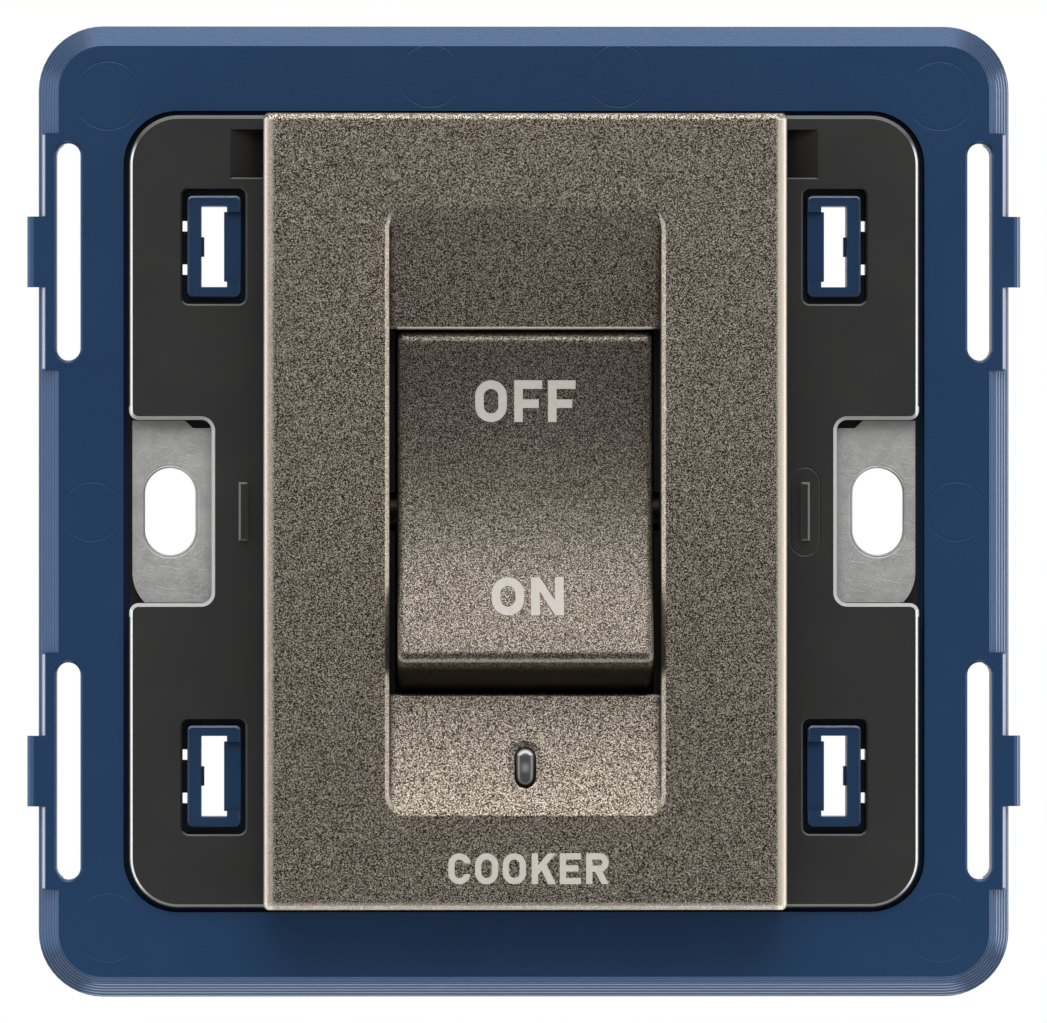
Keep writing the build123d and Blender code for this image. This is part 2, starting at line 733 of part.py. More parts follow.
# A slotted clamping screw, backed out
def build_clamp_screw(across, up, radius, tip, end):
    with BuildPart() as screw:
        with BuildSketch(front(end)):
            with Locations((across, up)):
                Circle(radius)
        extrude(amount=tip - end)
        with BuildSketch(front(end)):
            with Locations((across, up)):
                Rectangle(2 * radius, screw_slot_width)
        extrude(amount=screw_slot_depth, mode=Mode.SUBTRACT)
        chamfer(screw.faces().sort_by(Axis.Y)[0].edges(), length=screw_slot_width / 2)
    return screw.part


# The moulded base that holds the terminals and the contacts
with BuildPart() as switch_base:
    with BuildSketch(front(base_bottom)):
        Rectangle(2 * base_half_width, 2 * base_half_length)
    extrude(amount=plate_bottom - base_bottom)
    base_edges = switch_base.edges().filter_by(Axis.Y)
    fillet(base_edges, radius=base_wall / 2)
    chamfer(switch_base.faces().sort_by(Axis.Y)[-1].edges(), length=base_wall / 2)
    with BuildSketch(front(flange_bottom)):
        RectangleRounded(2 * flange_half_width, 2 * flange_half_length, base_wall)
    extrude(amount=plate_bottom - flange_bottom)
    with BuildSketch(front(base_inside)):
        Rectangle(2 * cavity_half_width, 2 * cavity_half_length)
    extrude(amount=plate_bottom - base_inside, mode=Mode.SUBTRACT)
    rib_top = strip_bottom - rib_play
    terminal_side = terminal_width / 2 + rib_play
    terminal_middle = (terminal_near + terminal_far) / 2
    with BuildSketch(front(base_inside)):
        with GridLocations(2 * (terminal_x + terminal_side + rib_wall / 2), 2 * terminal_middle, 2, 2):
            Rectangle(rib_wall, terminal_far - terminal_near + 2 * rib_play)
        with GridLocations(2 * (terminal_x - terminal_side - rib_wall / 2), 2 * terminal_middle, 2, 2):
            Rectangle(rib_wall, terminal_far - terminal_near + 2 * rib_play)
        with GridLocations(0, 2 * (terminal_near - rib_play - rib_wall / 2), 1, 2):
            Rectangle(2 * cavity_half_width, rib_wall)
    extrude(amount=rib_top - base_inside)
    with BuildSketch(front(base_inside)):
        Rectangle(rib_wall, 2 * terminal_near)
    extrude(amount=barrier_top - base_inside)
    with BuildSketch(Plane.XY.offset(terminal_far)):
        with Locations((terminal_x, -terminal_wire_height), (-terminal_x, -terminal_wire_height)):
            Circle(wire_entry_radius)
    extrude(amount=base_half_length, mode=Mode.SUBTRACT)
    with BuildSketch(Plane.XY.offset(-terminal_far)):
        with Locations((terminal_x, -terminal_wire_height), (-terminal_x, -terminal_wire_height)):
            Circle(wire_entry_radius)
    extrude(amount=-base_half_length, mode=Mode.SUBTRACT)
    with BuildSketch(front(base_bottom)):
        with GridLocations(2 * terminal_x, 2 * terminal_middle, 2, 2):
            Circle(screw_entry_radius)
    extrude(amount=base_floor, mode=Mode.SUBTRACT)
    mouths = switch_base.edges().filter_by(GeomType.CIRCLE)
    screw_mouths = mouths.filter_by(lambda e: abs(e.center().Y + base_bottom) < same_place)
    wire_mouths = mouths.filter_by(lambda e: abs(abs(e.center().Z) - base_half_length) < same_place)
    chamfer(screw_mouths + wire_mouths, length=entry_edge)
    with BuildSketch(front(base_bottom)):
        RectangleRounded(back_field_width, back_field_length, back_field_corner)
    extrude(amount=back_field_depth, mode=Mode.SUBTRACT)
    with BuildSketch(front(flange_bottom)):
        with GridLocations(2 * housing_screw_x, 2 * housing_screw_z, 2, 2):
            Circle(housing_screw_radius + slip)
    extrude(amount=plate_bottom - flange_bottom, mode=Mode.SUBTRACT)
    with BuildSketch(front(flange_bottom)):
        with GridLocations(2 * housing_screw_x, 2 * housing_screw_z, 2, 2):
            Circle(housing_screw_head_radius + housing_screw_way)
    extrude(amount=base_bottom - flange_bottom, mode=Mode.SUBTRACT)
    with BuildSketch(front(plate_bottom)):
        with Locations((0, lamp_z)):
            Circle(lamp_hole_radius)
    extrude(amount=resistor_top - plate_bottom, mode=Mode.SUBTRACT)

# The four screws that hold the base to the plate
with BuildPart() as housing_screws:
    with BuildSketch(front(flange_bottom)):
        with GridLocations(2 * housing_screw_x, 2 * housing_screw_z, 2, 2):
            Circle(housing_screw_radius)
    extrude(amount=housing_screw_tip - flange_bottom)
    with BuildSketch(front(flange_bottom)):
        with GridLocations(2 * housing_screw_x, 2 * housing_screw_z, 2, 2):
            Circle(housing_screw_head_radius)
    extrude(amount=-housing_screw_head)
    with BuildSketch(front(flange_bottom - housing_screw_head)):
        with GridLocations(2 * housing_screw_x, 2 * housing_screw_z, 2, 2):
            Rectangle(housing_cross, screw_slot_width)
            Rectangle(screw_slot_width, housing_cross)
    extrude(amount=screw_slot_depth, mode=Mode.SUBTRACT)

# The neon lamp behind the lens
with BuildPart() as neon_lamp:
    with BuildSketch(front(lamp_base)):
        with Locations((0, lamp_z)):
            Circle(lamp_radius)
    extrude(amount=lamp_tip - lamp_base)
    chamfer(neon_lamp.faces().sort_by(Axis.Y)[0].edges(), length=lamp_tip_round)

# The resistor in series with the lamp
with BuildPart() as lamp_resistor:
    with BuildSketch(front(resistor_bottom)):
        with Locations((lead_side, lamp_z)):
            Circle(resistor_radius)
    extrude(amount=resistor_top - resistor_bottom)

# The three wires of the lamp
lead_bend = (lamp_base + resistor_top) / 2
with BuildPart() as lamp_leads:
    with BuildLine() as left_lead:
        Polyline(
            (-lead_pitch, -lamp_base, lamp_z),
            (-lead_pitch, -lead_bend, lamp_z),
            (-lead_side, -lead_bend, lamp_z),
            (-lead_side, -strip_top, lamp_z),
        )
    with BuildSketch(Plane(origin=left_lead.line @ 0, z_dir=left_lead.line % 0)):
        RegularPolygon(lead_radius, lead_sides)
    sweep(path=left_lead.line, transition=Transition.RIGHT)
    with BuildLine() as right_lead:
        Polyline(
            (lead_pitch, -lamp_base, lamp_z),
            (lead_pitch, -lead_bend, lamp_z),
            (lead_side, -lead_bend, lamp_z),
            (lead_side, -resistor_top, lamp_z),
        )
    with BuildSketch(Plane(origin=right_lead.line @ 0, z_dir=right_lead.line % 0)):
        RegularPolygon(lead_radius, lead_sides)
    sweep(path=right_lead.line, transition=Transition.RIGHT)
    with BuildSketch(front(strip_top)):
        with Locations((lead_side, lamp_z)):
            RegularPolygon(lead_radius, lead_sides)
    extrude(amount=resistor_bottom - strip_top)

upper = (terminal_near + terminal_far) / 2
pieces = {
    "mounting_frame": mounting_frame.part,
    "support_plate": support_plate.part,
    "fixing_lug_right": build_lug(1),
    "fixing_lug_left": build_lug(-1),
    "front_cover": front_cover.part,
    "indicator_lens": indicator_lens.part,
    "rocker": rocker.part,
    "plunger_line": build_plunger(tube_x),
    "plunger_neutral": build_plunger(-tube_x),
    "plunger_spring_line": build_spring(tube_x),
    "plunger_spring_neutral": build_spring(-tube_x),
    "lever_line": build_lever(tube_x),
    "lever_neutral": build_lever(-tube_x),
    "lever_tip_line": build_lever_tip(tube_x),
    "lever_tip_neutral": build_lever_tip(-tube_x),
    "fixed_contact_line": build_fixed_contact(tube_x, terminal_x),
    "fixed_contact_neutral": build_fixed_contact(-tube_x, -terminal_x),
    "fixed_tip_line": build_fixed_tip(tube_x),
    "fixed_tip_neutral": build_fixed_tip(-tube_x),
    "fulcrum_line": build_fulcrum(tube_x, terminal_x),
    "fulcrum_neutral": build_fulcrum(-tube_x, -terminal_x),
    "terminal_line_in": build_terminal(terminal_x, 1),
    "terminal_neutral_in": build_terminal(-terminal_x, 1),
    "terminal_line_out": build_terminal(terminal_x, -1),
    "terminal_neutral_out": build_terminal(-terminal_x, -1),
    "clamp_screw_line_in": build_clamp_screw(
        terminal_x, upper, terminal_screw_radius, terminal_screw_tip, terminal_screw_end
    ),
    "clamp_screw_neutral_in": build_clamp_screw(
        -terminal_x, upper, terminal_screw_radius, terminal_screw_tip, terminal_screw_end
    ),
    "clamp_screw_line_out": build_clamp_screw(
        terminal_x, -upper, terminal_screw_radius, terminal_screw_tip, terminal_screw_end
    ),
    "clamp_screw_neutral_out": build_clamp_screw(
        -terminal_x, -upper, terminal_screw_radius, terminal_screw_tip, terminal_screw_end
    ),
    "switch_base": switch_base.part,
    "housing_screws": housing_screws.part,
    "neon_lamp": neon_lamp.part,
    "lamp_resistor": lamp_resistor.part,
    "lamp_leads": lamp_leads.part,
}

os.makedirs("parts", exist_ok=True)
for name, piece in pieces.items():
    piece.label = name
    export_step(piece, f"parts/{name}.step")
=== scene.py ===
import json
import math

import bmesh
import bpy
from mathutils import Matrix, Vector


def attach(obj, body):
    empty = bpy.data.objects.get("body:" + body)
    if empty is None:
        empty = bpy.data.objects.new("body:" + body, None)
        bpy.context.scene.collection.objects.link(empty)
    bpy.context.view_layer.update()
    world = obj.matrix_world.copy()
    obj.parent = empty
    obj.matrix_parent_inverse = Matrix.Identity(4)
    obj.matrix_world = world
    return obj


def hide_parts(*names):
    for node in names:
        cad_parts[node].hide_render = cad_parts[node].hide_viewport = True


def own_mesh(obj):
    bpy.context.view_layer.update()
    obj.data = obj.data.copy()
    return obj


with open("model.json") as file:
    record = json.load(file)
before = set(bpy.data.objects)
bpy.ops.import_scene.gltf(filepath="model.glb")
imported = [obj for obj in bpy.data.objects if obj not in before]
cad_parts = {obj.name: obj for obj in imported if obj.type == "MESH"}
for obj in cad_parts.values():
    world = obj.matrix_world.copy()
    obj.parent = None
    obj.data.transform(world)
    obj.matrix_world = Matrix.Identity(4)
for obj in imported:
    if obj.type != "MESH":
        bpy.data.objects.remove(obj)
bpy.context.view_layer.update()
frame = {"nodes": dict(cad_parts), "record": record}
nodes = frame["nodes"]
slotOf = {part["node"]: part["material_slot"] for part in frame["record"]["subparts"]}
mm = 0.001
mottleBand = (0.3, 0.7)  # the part of a noise's range that two colours are spread over
rimTurn = {"face": 0.87, "wall": (0.15, 0.4), "soft": 0.1}
window = {"z": -21.66, "half": 0.82}  # middle and half length of the lamp window's slot
print("frame loaded with", len(nodes), "pieces")


# small helpers for node trees
def addNode(tree, kind, inputs=None, **settings):
    node = tree.nodes.new(kind)
    for key, value in settings.items():
        setattr(node, key, value)
    for key, value in (inputs or {}).items():
        if isinstance(value, bpy.types.NodeSocket):
            tree.links.new(value, node.inputs[key])
        else:
            node.inputs[key].default_value = value
    return node


def newFinish(name, look):
    finish = bpy.data.materials.new(name)
    finish.use_nodes = True
    tree = finish.node_tree
    shader = tree.nodes["Principled BSDF"]
    for socket, value in look.items():
        shader.inputs[socket].default_value = value
    place = addNode(tree, "ShaderNodeTexCoord").outputs["Object"]
    return finish, tree, shader, place


def rgb(colour):
    return (*colour, 1.0)


def ramp(tree, factor, stops):
    node = addNode(tree, "ShaderNodeValToRGB", {"Fac": factor})
    bands = node.color_ramp.elements
    while len(bands) < len(stops):
        bands.new(0.5)
    for band, (spot, colour) in zip(bands, stops):
        band.position = spot
        band.color = rgb(colour)
    return node.outputs["Color"]


def mottle(tree, factor, low, high):
    return ramp(tree, factor, list(zip(mottleBand, (low, high))))


def noise(tree, place, size, detail=2.0, stretch=None):
    if stretch:
        place = addNode(tree, "ShaderNodeMapping", {"Vector": place, "Scale": stretch}).outputs["Vector"]
    look = {"Vector": place, "Scale": 1 / size, "Detail": detail}
    return addNode(tree, "ShaderNodeTexNoise", look).outputs["Fac"]


def math2(tree, operation, first, second=0.0):
    return addNode(tree, "ShaderNodeMath", {0: first, 1: second}, operation=operation).outputs[0]


def absolute(tree, value):
    return math2(tree, "ABSOLUTE", value)


# product of several masks and shares
def together(tree, first, *others):
    for other in others:
        first = math2(tree, "MULTIPLY", first, other)
    return first


def bump(tree, shader, height, depth=1.0):
    node = addNode(tree, "ShaderNodeBump", {"Height": height, "Distance": depth})
    tree.links.new(node.outputs["Normal"], shader.inputs["Normal"])


def paint(tree, shader, colour):
    tree.links.new(colour, shader.inputs["Base Color"])


def fade(tree, value, start, end):
    look = {"Value": value, "From Min": start, "From Max": end}
    return addNode(tree, "ShaderNodeMapRange", look, interpolation_type="SMOOTHSTEP").outputs["Result"]


def remap(tree, value, start, end, low, high):
    look = {"Value": value, "From Min": start, "From Max": end, "To Min": low, "To Max": high}
    return addNode(tree, "ShaderNodeMapRange", look).outputs["Result"]


def roughen(tree, shader, patch, rough):
    tree.links.new(remap(tree, patch, *mottleBand, *rough), shader.inputs["Roughness"])


def blend(tree, factor, first, second):
    node = addNode(tree, "ShaderNodeMix", {0: factor}, data_type="RGBA")
    for socket, value in ((node.inputs[6], first), (node.inputs[7], second)):
        if isinstance(value, bpy.types.NodeSocket):
            tree.links.new(value, socket)
        else:
            socket.default_value = rgb(value)
    return node.outputs[2]


def axesOf(tree, place):
    return addNode(tree, "ShaderNodeSeparateXYZ", {"Vector": place}).outputs


def turnedAxes(tree):
    return axesOf(tree, addNode(tree, "ShaderNodeTexCoord").outputs["Normal"])


def vector(tree, x=0.0, y=0.0, z=0.0):
    return addNode(tree, "ShaderNodeCombineXYZ", {"X": x, "Y": y, "Z": z}).outputs[0]


def length(tree, across, along):
    spot = vector(tree, across, along)
    return addNode(tree, "ShaderNodeVectorMath", {0: spot}, operation="LENGTH").outputs["Value"]


# one on the sloped rims of a moulding, nought on its flat faces and upright walls
def rimMask(tree, turned, top=rimTurn["face"]):
    level = absolute(tree, turned["Y"])
    return together(tree, fade(tree, level, top, top - rimTurn["soft"]), fade(tree, level, *rimTurn["wall"]))


# one between the two inner values, nought beyond the two outer ones
def between(tree, value, near, start, end, far):
    return together(tree, fade(tree, value, near, start), fade(tree, value, far, end))


# distance in the front view from an upright line of a given half length
def lineDistance(tree, across, upright, x, z, half):
    past = absolute(tree, math2(tree, "SUBTRACT", upright, z))
    past = math2(tree, "MAXIMUM", math2(tree, "SUBTRACT", past, half), 0.0)
    return length(tree, math2(tree, "SUBTRACT", across, x), past)


def lineMark(tree, distance, radius, width):
    off = absolute(tree, math2(tree, "SUBTRACT", distance, radius))
    return fade(tree, off, width, 0.0)


# bronze paint: bright and dark flakes of metal
bronze = {
    "dark": (0.042, 0.028, 0.013),
    "middle": (0.19, 0.158, 0.121),
    "light": (0.92, 0.828, 0.71),
    "stops": (0.27, 0.55, 0.82),
    "flake": 0.062 * mm,
    "patch": 0.2 * mm,
    "patchShare": 0.08,
    "depth": 0.006 * mm,
}


def flakes(tree, place, gain):
    cells = addNode(tree, "ShaderNodeTexVoronoi", {"Vector": place, "Scale": 1 / bronze["flake"]})
    flake = addNode(tree, "ShaderNodeSeparateColor", {"Color": cells.outputs["Color"]}).outputs["Red"]
    patch = noise(tree, place, bronze["patch"], 1.0)
    share = bronze["patchShare"]
    mixed = together(tree, flake, 1 - share)
    mixed = math2(tree, "ADD", mixed, together(tree, patch, share))
    colours = (bronze["dark"], bronze["middle"], bronze["light"])
    stops = [(spot, tuple(gain * c for c in colour)) for spot, colour in zip(bronze["stops"], colours)]
    return ramp(tree, mixed, stops), together(tree, mixed, bronze["depth"])


# the cover's paint has painted shade on its outer walls and painted highlights on its edges
coverPaint = {
    "gain": 0.665,
    "shader": {"Metallic": 1.0, "Roughness": 0.4},
    "front": (-10.7 * mm, -10.95 * mm),
    "wall": (0.04, 0.034, 0.027),
    "wallAcross": (22.0 * mm, 22.1 * mm),
    "wallUpright": (33.55 * mm, 33.65 * mm),
    "wallShare": 0.5,
    "side": (21.15 * mm, 21.5 * mm),
    "sideSpan": (-20 * mm, 20 * mm),
    "sideShare": (0.5, 0.85),  # at the left and the right edge
    "edgeSheen": (0.43, 0.395, 0.345),
    "edgeSheenShare": 0.8,
    "low": (-32.95 * mm, -33.2 * mm),
    "lowShare": 0.35,
    "lipAlong": (14.9 * mm, 15.1 * mm, 15.9 * mm, 16.1 * mm),
    "lipAcross": (10.9 * mm, 10.7 * mm),
    "lipShare": 0.6,
    "rim": (11.3 * mm, 11.4 * mm, 12.0 * mm, 12.1 * mm),
    "rimShare": 0.22,
    "footShade": (0.03, 0.026, 0.02),
    "foot": (10.9 * mm, 11.5 * mm, 11.6 * mm, 11.75 * mm),
    "footAlong": (24.6 * mm, 24.0 * mm),
    "footShare": 0.8,
    # which way a face has to turn for each painted mark
    "notUp": (0.3, 0.1),
    "sloped": (0.25, 0.5),
    "down": (-0.3, -0.5),
    "steep": (0.4, 0.6),
    "level": (0.3, 0.1),
}
dimple = {"radius": 0.9 * mm, "reach": 0.62 * mm, "depth": 0.19 * mm}


def coverFinish(name):
    look = coverPaint
    finish, tree, shader, place = newFinish(name, look["shader"])
    colour, height = flakes(tree, place, look["gain"])
    axes = axesOf(tree, place)
    turned = turnedAxes(tree)
    across = absolute(tree, axes["X"])
    upright = absolute(tree, axes["Z"])
    sideways = absolute(tree, turned["X"])
    front = fade(tree, axes["Y"], *look["front"])
    # painted shade on the outer walls, darker than the front
    wall = fade(tree, across, *look["wallAcross"])
    wall = math2(tree, "MAXIMUM", wall, fade(tree, upright, *look["wallUpright"]))
    wall = together(tree, wall, math2(tree, "SUBTRACT", 1.0, front), look["wallShare"])
    colour = blend(tree, wall, colour, look["wall"])
    # painted highlights along the front's side and lower edges
    side = together(tree, front, fade(tree, across, *look["side"]), fade(tree, turned["Z"], *look["notUp"]))
    highlightShare = remap(tree, axes["X"], *look["sideSpan"], *look["sideShare"])
    colour = blend(tree, together(tree, side, highlightShare), colour, bronze["light"])
    edgeSheen = together(tree, side, fade(tree, sideways, *look["sloped"]), look["edgeSheenShare"])
    colour = blend(tree, edgeSheen, colour, look["edgeSheen"])
    low = together(tree, front, fade(tree, axes["Z"], *look["low"]), look["lowShare"])
    colour = blend(tree, low, colour, bronze["light"])
    # painted highlights on the upper lip of the rocker's opening and on the trough's rims
    lip = together(tree, between(tree, axes["Z"], *look["lipAlong"]), fade(tree, across, *look["lipAcross"]))
    lip = together(tree, lip, fade(tree, turned["Z"], *look["down"]), look["lipShare"])
    colour = blend(tree, lip, colour, bronze["light"])
    rim = together(tree, between(tree, across, *look["rim"]), fade(tree, sideways, *look["steep"]))
    colour = blend(tree, together(tree, rim, look["rimShare"]), colour, bronze["light"])
    # painted shade along the foot of the trough's walls
    foot = together(tree, between(tree, across, *look["foot"]), fade(tree, sideways, *look["level"]))
    foot = together(tree, foot, fade(tree, upright, *look["footAlong"]), look["footShare"])
    paint(tree, shader, blend(tree, foot, colour, look["footShade"]))
    away = lineDistance(tree, axes["X"], axes["Z"], 0.0, window["z"] * mm, window["half"] * mm)
    dip = fade(tree, away, dimple["radius"] + dimple["reach"], dimple["radius"])
    bump(tree, shader, math2(tree, "SUBTRACT", height, together(tree, dip, dimple["depth"])))
    return finish


# the rocker's colour goes dark behind the rim of its face; a painted highlight runs along its lower rim
rockerPaint = {
    "gain": 0.345,
    "shader": {"Metallic": 0.62, "Roughness": 0.29, "Specular Tint": (1.0, 0.88, 0.74, 1.0)},
    "rimFade": (0.9 * mm, 2.0 * mm),
    "lip": (0.5 * mm, 0.3 * mm),
    "lipAlong": (-8 * mm, -9 * mm),
    "lipShare": 0.2,
    "beyondRim": (0.004, 0.002, 0.0),
    "beyondRimShare": 0.1,
}
rockerFace = {"pivot": 4.0, "tilt": 10.0, "radius": 50.0, "chord": 27.7, "drum": 15.774, "solveSteps": 6}
halfChord = rockerFace["chord"] / 2
rockerFace["centre"] = math.sqrt(rockerFace["drum"] ** 2 - halfChord**2)
rockerFace["centre"] += math.sqrt(rockerFace["radius"] ** 2 - halfChord**2)


def rockerFinish(name):
    look = rockerPaint
    finish, tree, shader, place = newFinish(name, look["shader"])
    colour, height = flakes(tree, place, look["gain"])
    lean = math.radians(rockerFace["tilt"])
    reach = rockerFace["centre"] * mm
    middle = (0, -rockerFace["pivot"] * mm - reach * math.cos(lean), reach * math.sin(lean))
    flat = addNode(tree, "ShaderNodeVectorMath", {0: place, 1: (0, 1, 1)}, operation="MULTIPLY").outputs[0]
    away = addNode(tree, "ShaderNodeVectorMath", {0: flat, 1: middle}, operation="DISTANCE").outputs["Value"]
    away = math2(tree, "SUBTRACT", away, rockerFace["radius"] * mm)
    # painted highlight along the lower rim of the face
    lip = together(tree, lineMark(tree, away, *look["lip"]), look["lipShare"])
    lip = together(tree, lip, fade(tree, axesOf(tree, place)["Z"], *look["lipAlong"]))
    colour = blend(tree, lip, colour, bronze["light"])
    # darker behind the rim of the face
    pastRim = together(tree, fade(tree, away, *look["rimFade"]), 1 - look["beyondRimShare"])
    paint(tree, shader, blend(tree, pastRim, colour, look["beyondRim"]))
    bump(tree, shader, height)
    return finish


# blue moulding: faint flow marks, tool lines on the bevels, round marks of the ejector pins, painted light on
# the bevels and rims
blue = {
    "deep": (0.0105, 0.039, 0.1),
    "pale": (0.0125, 0.0435, 0.109),
    "flow": 9 * mm,
    "bevel": (0.036, 0.085, 0.19),
    "straight": (0.32, 0.08),
    "stripe": (0.3, 0.34, 0.44),
    "stripeFrom": (40.1 * mm, 40.3 * mm),
    "stripeWave": (0.2, 0.9),
    "stripeTurn": (0.2, 0.5),
    "socketRim": (0.12, 0.16, 0.24),
    "socketTop": (0.5, 0.58, 0.68),
    "socketRange": (30.0 * mm, 29.0 * mm),
    "socketTurn": (0.2, 0.5),
    "bar": (0.5, 0.52, 0.63),
    "barAcross": (40.48 * mm, 40.62 * mm, 40.96 * mm, 41.04 * mm),
    "barMiddle": 22.1 * mm,
    "barAlong": (3.0 * mm, 3.1 * mm, 9.9 * mm, 10.0 * mm),
    "lines": 0.24 * mm,
    "lineDepth": 0.028 * mm,
    "grain": 0.25 * mm,
    "grainDepth": 0.014 * mm,
    "pinLine": 0.11 * mm,
    "pinDepth": 0.016 * mm,
    "shader": {"Roughness": 0.3, "Specular IOR Level": 0.32},
}
# place and radius of each kind of pin mark, mirrored to both sides, the first two also up and down
bluePins = {
    "corner": (35.4 * mm, 35.4 * mm, 2.9 * mm),
    "side": (36.8 * mm, 0.0, 2.5 * mm),
    "top": (8.0 * mm, 37.1 * mm, 2.65 * mm),
    "bottom": (0.0, -36.3 * mm, 2.65 * mm),
}


def blueFinish(name):
    finish, tree, shader, place = newFinish(name, blue["shader"])
    colour = mottle(tree, noise(tree, place, blue["flow"], 3.0), blue["deep"], blue["pale"])
    axes = axesOf(tree, place)
    across = absolute(tree, axes["X"])
    upright = absolute(tree, axes["Z"])
    turned = turnedAxes(tree)
    rim = rimMask(tree, turned, 1.0)
    # painted light on the straight bevels, which stay deep blue round the corners
    bend = math2(tree, "MINIMUM", absolute(tree, turned["X"]), absolute(tree, turned["Z"]))
    straight = together(tree, rim, fade(tree, bend, *blue["straight"]))
    colour = blend(tree, straight, colour, blue["bevel"])
    # painted highlights on the tool lines of the right and lower bevels
    outwards = math2(tree, "MAXIMUM", across, upright)
    wave = math2(tree, "SINE", together(tree, axes["Y"], 2 * math.pi / blue["lines"]))
    stripe = together(tree, fade(tree, outwards, *blue["stripeFrom"]), fade(tree, wave, *blue["stripeWave"]))
    facing = math2(tree, "SUBTRACT", turned["X"], turned["Z"])
    stripe = together(tree, stripe, straight, fade(tree, facing, *blue["stripeTurn"]))
    colour = blend(tree, stripe, colour, blue["stripe"])
    # painted highlights on the socket rims, paler where they face up
    socket = together(tree, rim, fade(tree, outwards, *blue["socketRange"]))
    colour = blend(tree, socket, colour, blue["socketRim"])
    socket = together(tree, socket, fade(tree, turned["Z"], *blue["socketTurn"]))
    colour = blend(tree, socket, colour, blue["socketTop"])
    # painted highlight along the rounded bars, broken by the tabs
    along = absolute(tree, math2(tree, "SUBTRACT", upright, blue["barMiddle"]))
    bar = between(tree, across, *blue["barAcross"])
    bar = together(tree, rim, bar, between(tree, along, *blue["barAlong"]))
    paint(tree, shader, blend(tree, bar, colour, blue["bar"]))
    height = together(tree, wave, blue["lineDepth"])
    grain = noise(tree, place, blue["grain"], 2.0)
    height = math2(tree, "ADD", height, together(tree, grain, blue["grainDepth"]))
    for pin, (x, z, radius) in bluePins.items():
        level = upright if pin in ("corner", "side") else axes["Z"]
        edge = lineMark(tree, lineDistance(tree, across, level, x, z, 0.0), radius, blue["pinLine"])
        height = math2(tree, "SUBTRACT", height, together(tree, edge, blue["pinDepth"]))
    bump(tree, shader, height)
    return finish


# black plate: satin faces, painted highlights on rims in places, and a faint oval mark round the right rib
black = {
    "low": (0.016, 0.016, 0.016),
    "high": (0.0215, 0.0215, 0.021),
    "patch": 6 * mm,
    "rim": (0.016, 0.016, 0.016),
    "rimTop": (0.1, 0.1, 0.1),
    "topTurn": (0.25, 0.55),
    "ribRim": (0.22, 0.22, 0.22),
    "ribAcross": (22.9 * mm, 23.0 * mm, 25.4 * mm, 25.5 * mm),
    "ribAlong": (3.6 * mm, 3.5 * mm),
    "notchRim": (0.46, 0.46, 0.46),
    "notchAcross": (25.8 * mm, 25.9 * mm),
    "notchAlong": (9.0 * mm, 8.9 * mm),
    "line": (0.9, 0.9, 0.9),
    "outline": (33.6 * mm, 33.7 * mm, 4.2 * mm),
    "lineInset": (0.31 * mm, 0.26 * mm, 0.14 * mm, 0.09 * mm),
    "lineTurn": (0.4, 0.1),
    "lineSide": (0.4, 0.7),
    "lineShare": 0.25,  # of the line along the lower edge
    "grain": 0.22 * mm,
    "depth": 0.006 * mm,
    "oval": (23.9 * mm, 0.0, 2.5 * mm),
    "ovalRadius": 1.24 * mm,
    "ovalLine": 0.1 * mm,
    "ovalDepth": 0.03 * mm,
    "shader": {"Roughness": 0.4, "Specular IOR Level": 0.45},
}


def blackFinish(name):
    finish, tree, shader, place = newFinish(name, black["shader"])
    colour = mottle(tree, noise(tree, place, black["patch"], 4.0), black["low"], black["high"])
    axes = axesOf(tree, place)
    across = absolute(tree, axes["X"])
    upright = absolute(tree, axes["Z"])
    turned = turnedAxes(tree)
    rim = rimMask(tree, turned)
    colour = blend(tree, rim, colour, black["rim"])
    # painted highlight on the rims that face up
    top = together(tree, rim, fade(tree, turned["Z"], *black["topTurn"]))
    colour = blend(tree, top, colour, black["rimTop"])
    # painted highlight on the rib's rims
    rib = together(tree, between(tree, across, *black["ribAcross"]), fade(tree, upright, *black["ribAlong"]))
    colour = blend(tree, together(tree, rim, rib), colour, black["ribRim"])
    # painted highlight on the notch rims
    notch = together(tree, rim, fade(tree, across, *black["notchAcross"]))
    notch = together(tree, notch, fade(tree, upright, *black["notchAlong"]))
    colour = blend(tree, notch, colour, black["notchRim"])
    # a narrow painted highlight along the plate's outer sides, fainter along its lower edge
    wide, tall, bend = black["outline"]
    pastSide = math2(tree, "MAXIMUM", math2(tree, "SUBTRACT", across, wide - bend), 0.0)
    pastEnd = math2(tree, "MAXIMUM", math2(tree, "SUBTRACT", upright, tall - bend), 0.0)
    line = between(tree, length(tree, pastSide, pastEnd), *(bend - inset for inset in black["lineInset"]))
    line = together(tree, rim, line, fade(tree, turned["Z"], *black["lineTurn"]))
    share = black["lineShare"]
    strength = together(tree, fade(tree, absolute(tree, turned["X"]), *black["lineSide"]), 1 - share)
    line = together(tree, line, math2(tree, "ADD", strength, share))
    paint(tree, shader, blend(tree, line, colour, black["line"]))
    away = lineDistance(tree, axes["X"], axes["Z"], *black["oval"])
    mark = lineMark(tree, away, black["ovalRadius"], black["ovalLine"])
    height = together(tree, noise(tree, place, black["grain"], 2.0), black["depth"])
    bump(tree, shader, math2(tree, "SUBTRACT", height, together(tree, mark, black["ovalDepth"])))
    return finish


# zinc-plated steel: cloudy plating, fine scratches three ways, a pressed line round each slot
steel = {
    "low": (0.39, 0.39, 0.39),
    "high": (0.535, 0.535, 0.53),
    "cloud": 1.6 * mm,
    "cloudShare": 0.6,
    "speck": 0.3 * mm,
    "rough": (0.48, 0.6),
    "scratch": 0.1 * mm,
    "scratchTurns": (25, -50, 80),
    "scratchStretch": (1, 1, 0.04),
    "scratchCut": (0.6, 0.75),
    "scratchDepth": 0.01 * mm,
    "slot": (30.15 * mm, 0.0, 1.55 * mm),
    "slotRadius": 2.36 * mm,
    "slotLine": 0.1 * mm,
    "slotDepth": 0.03 * mm,
    "shader": {"Metallic": 0.75},
}


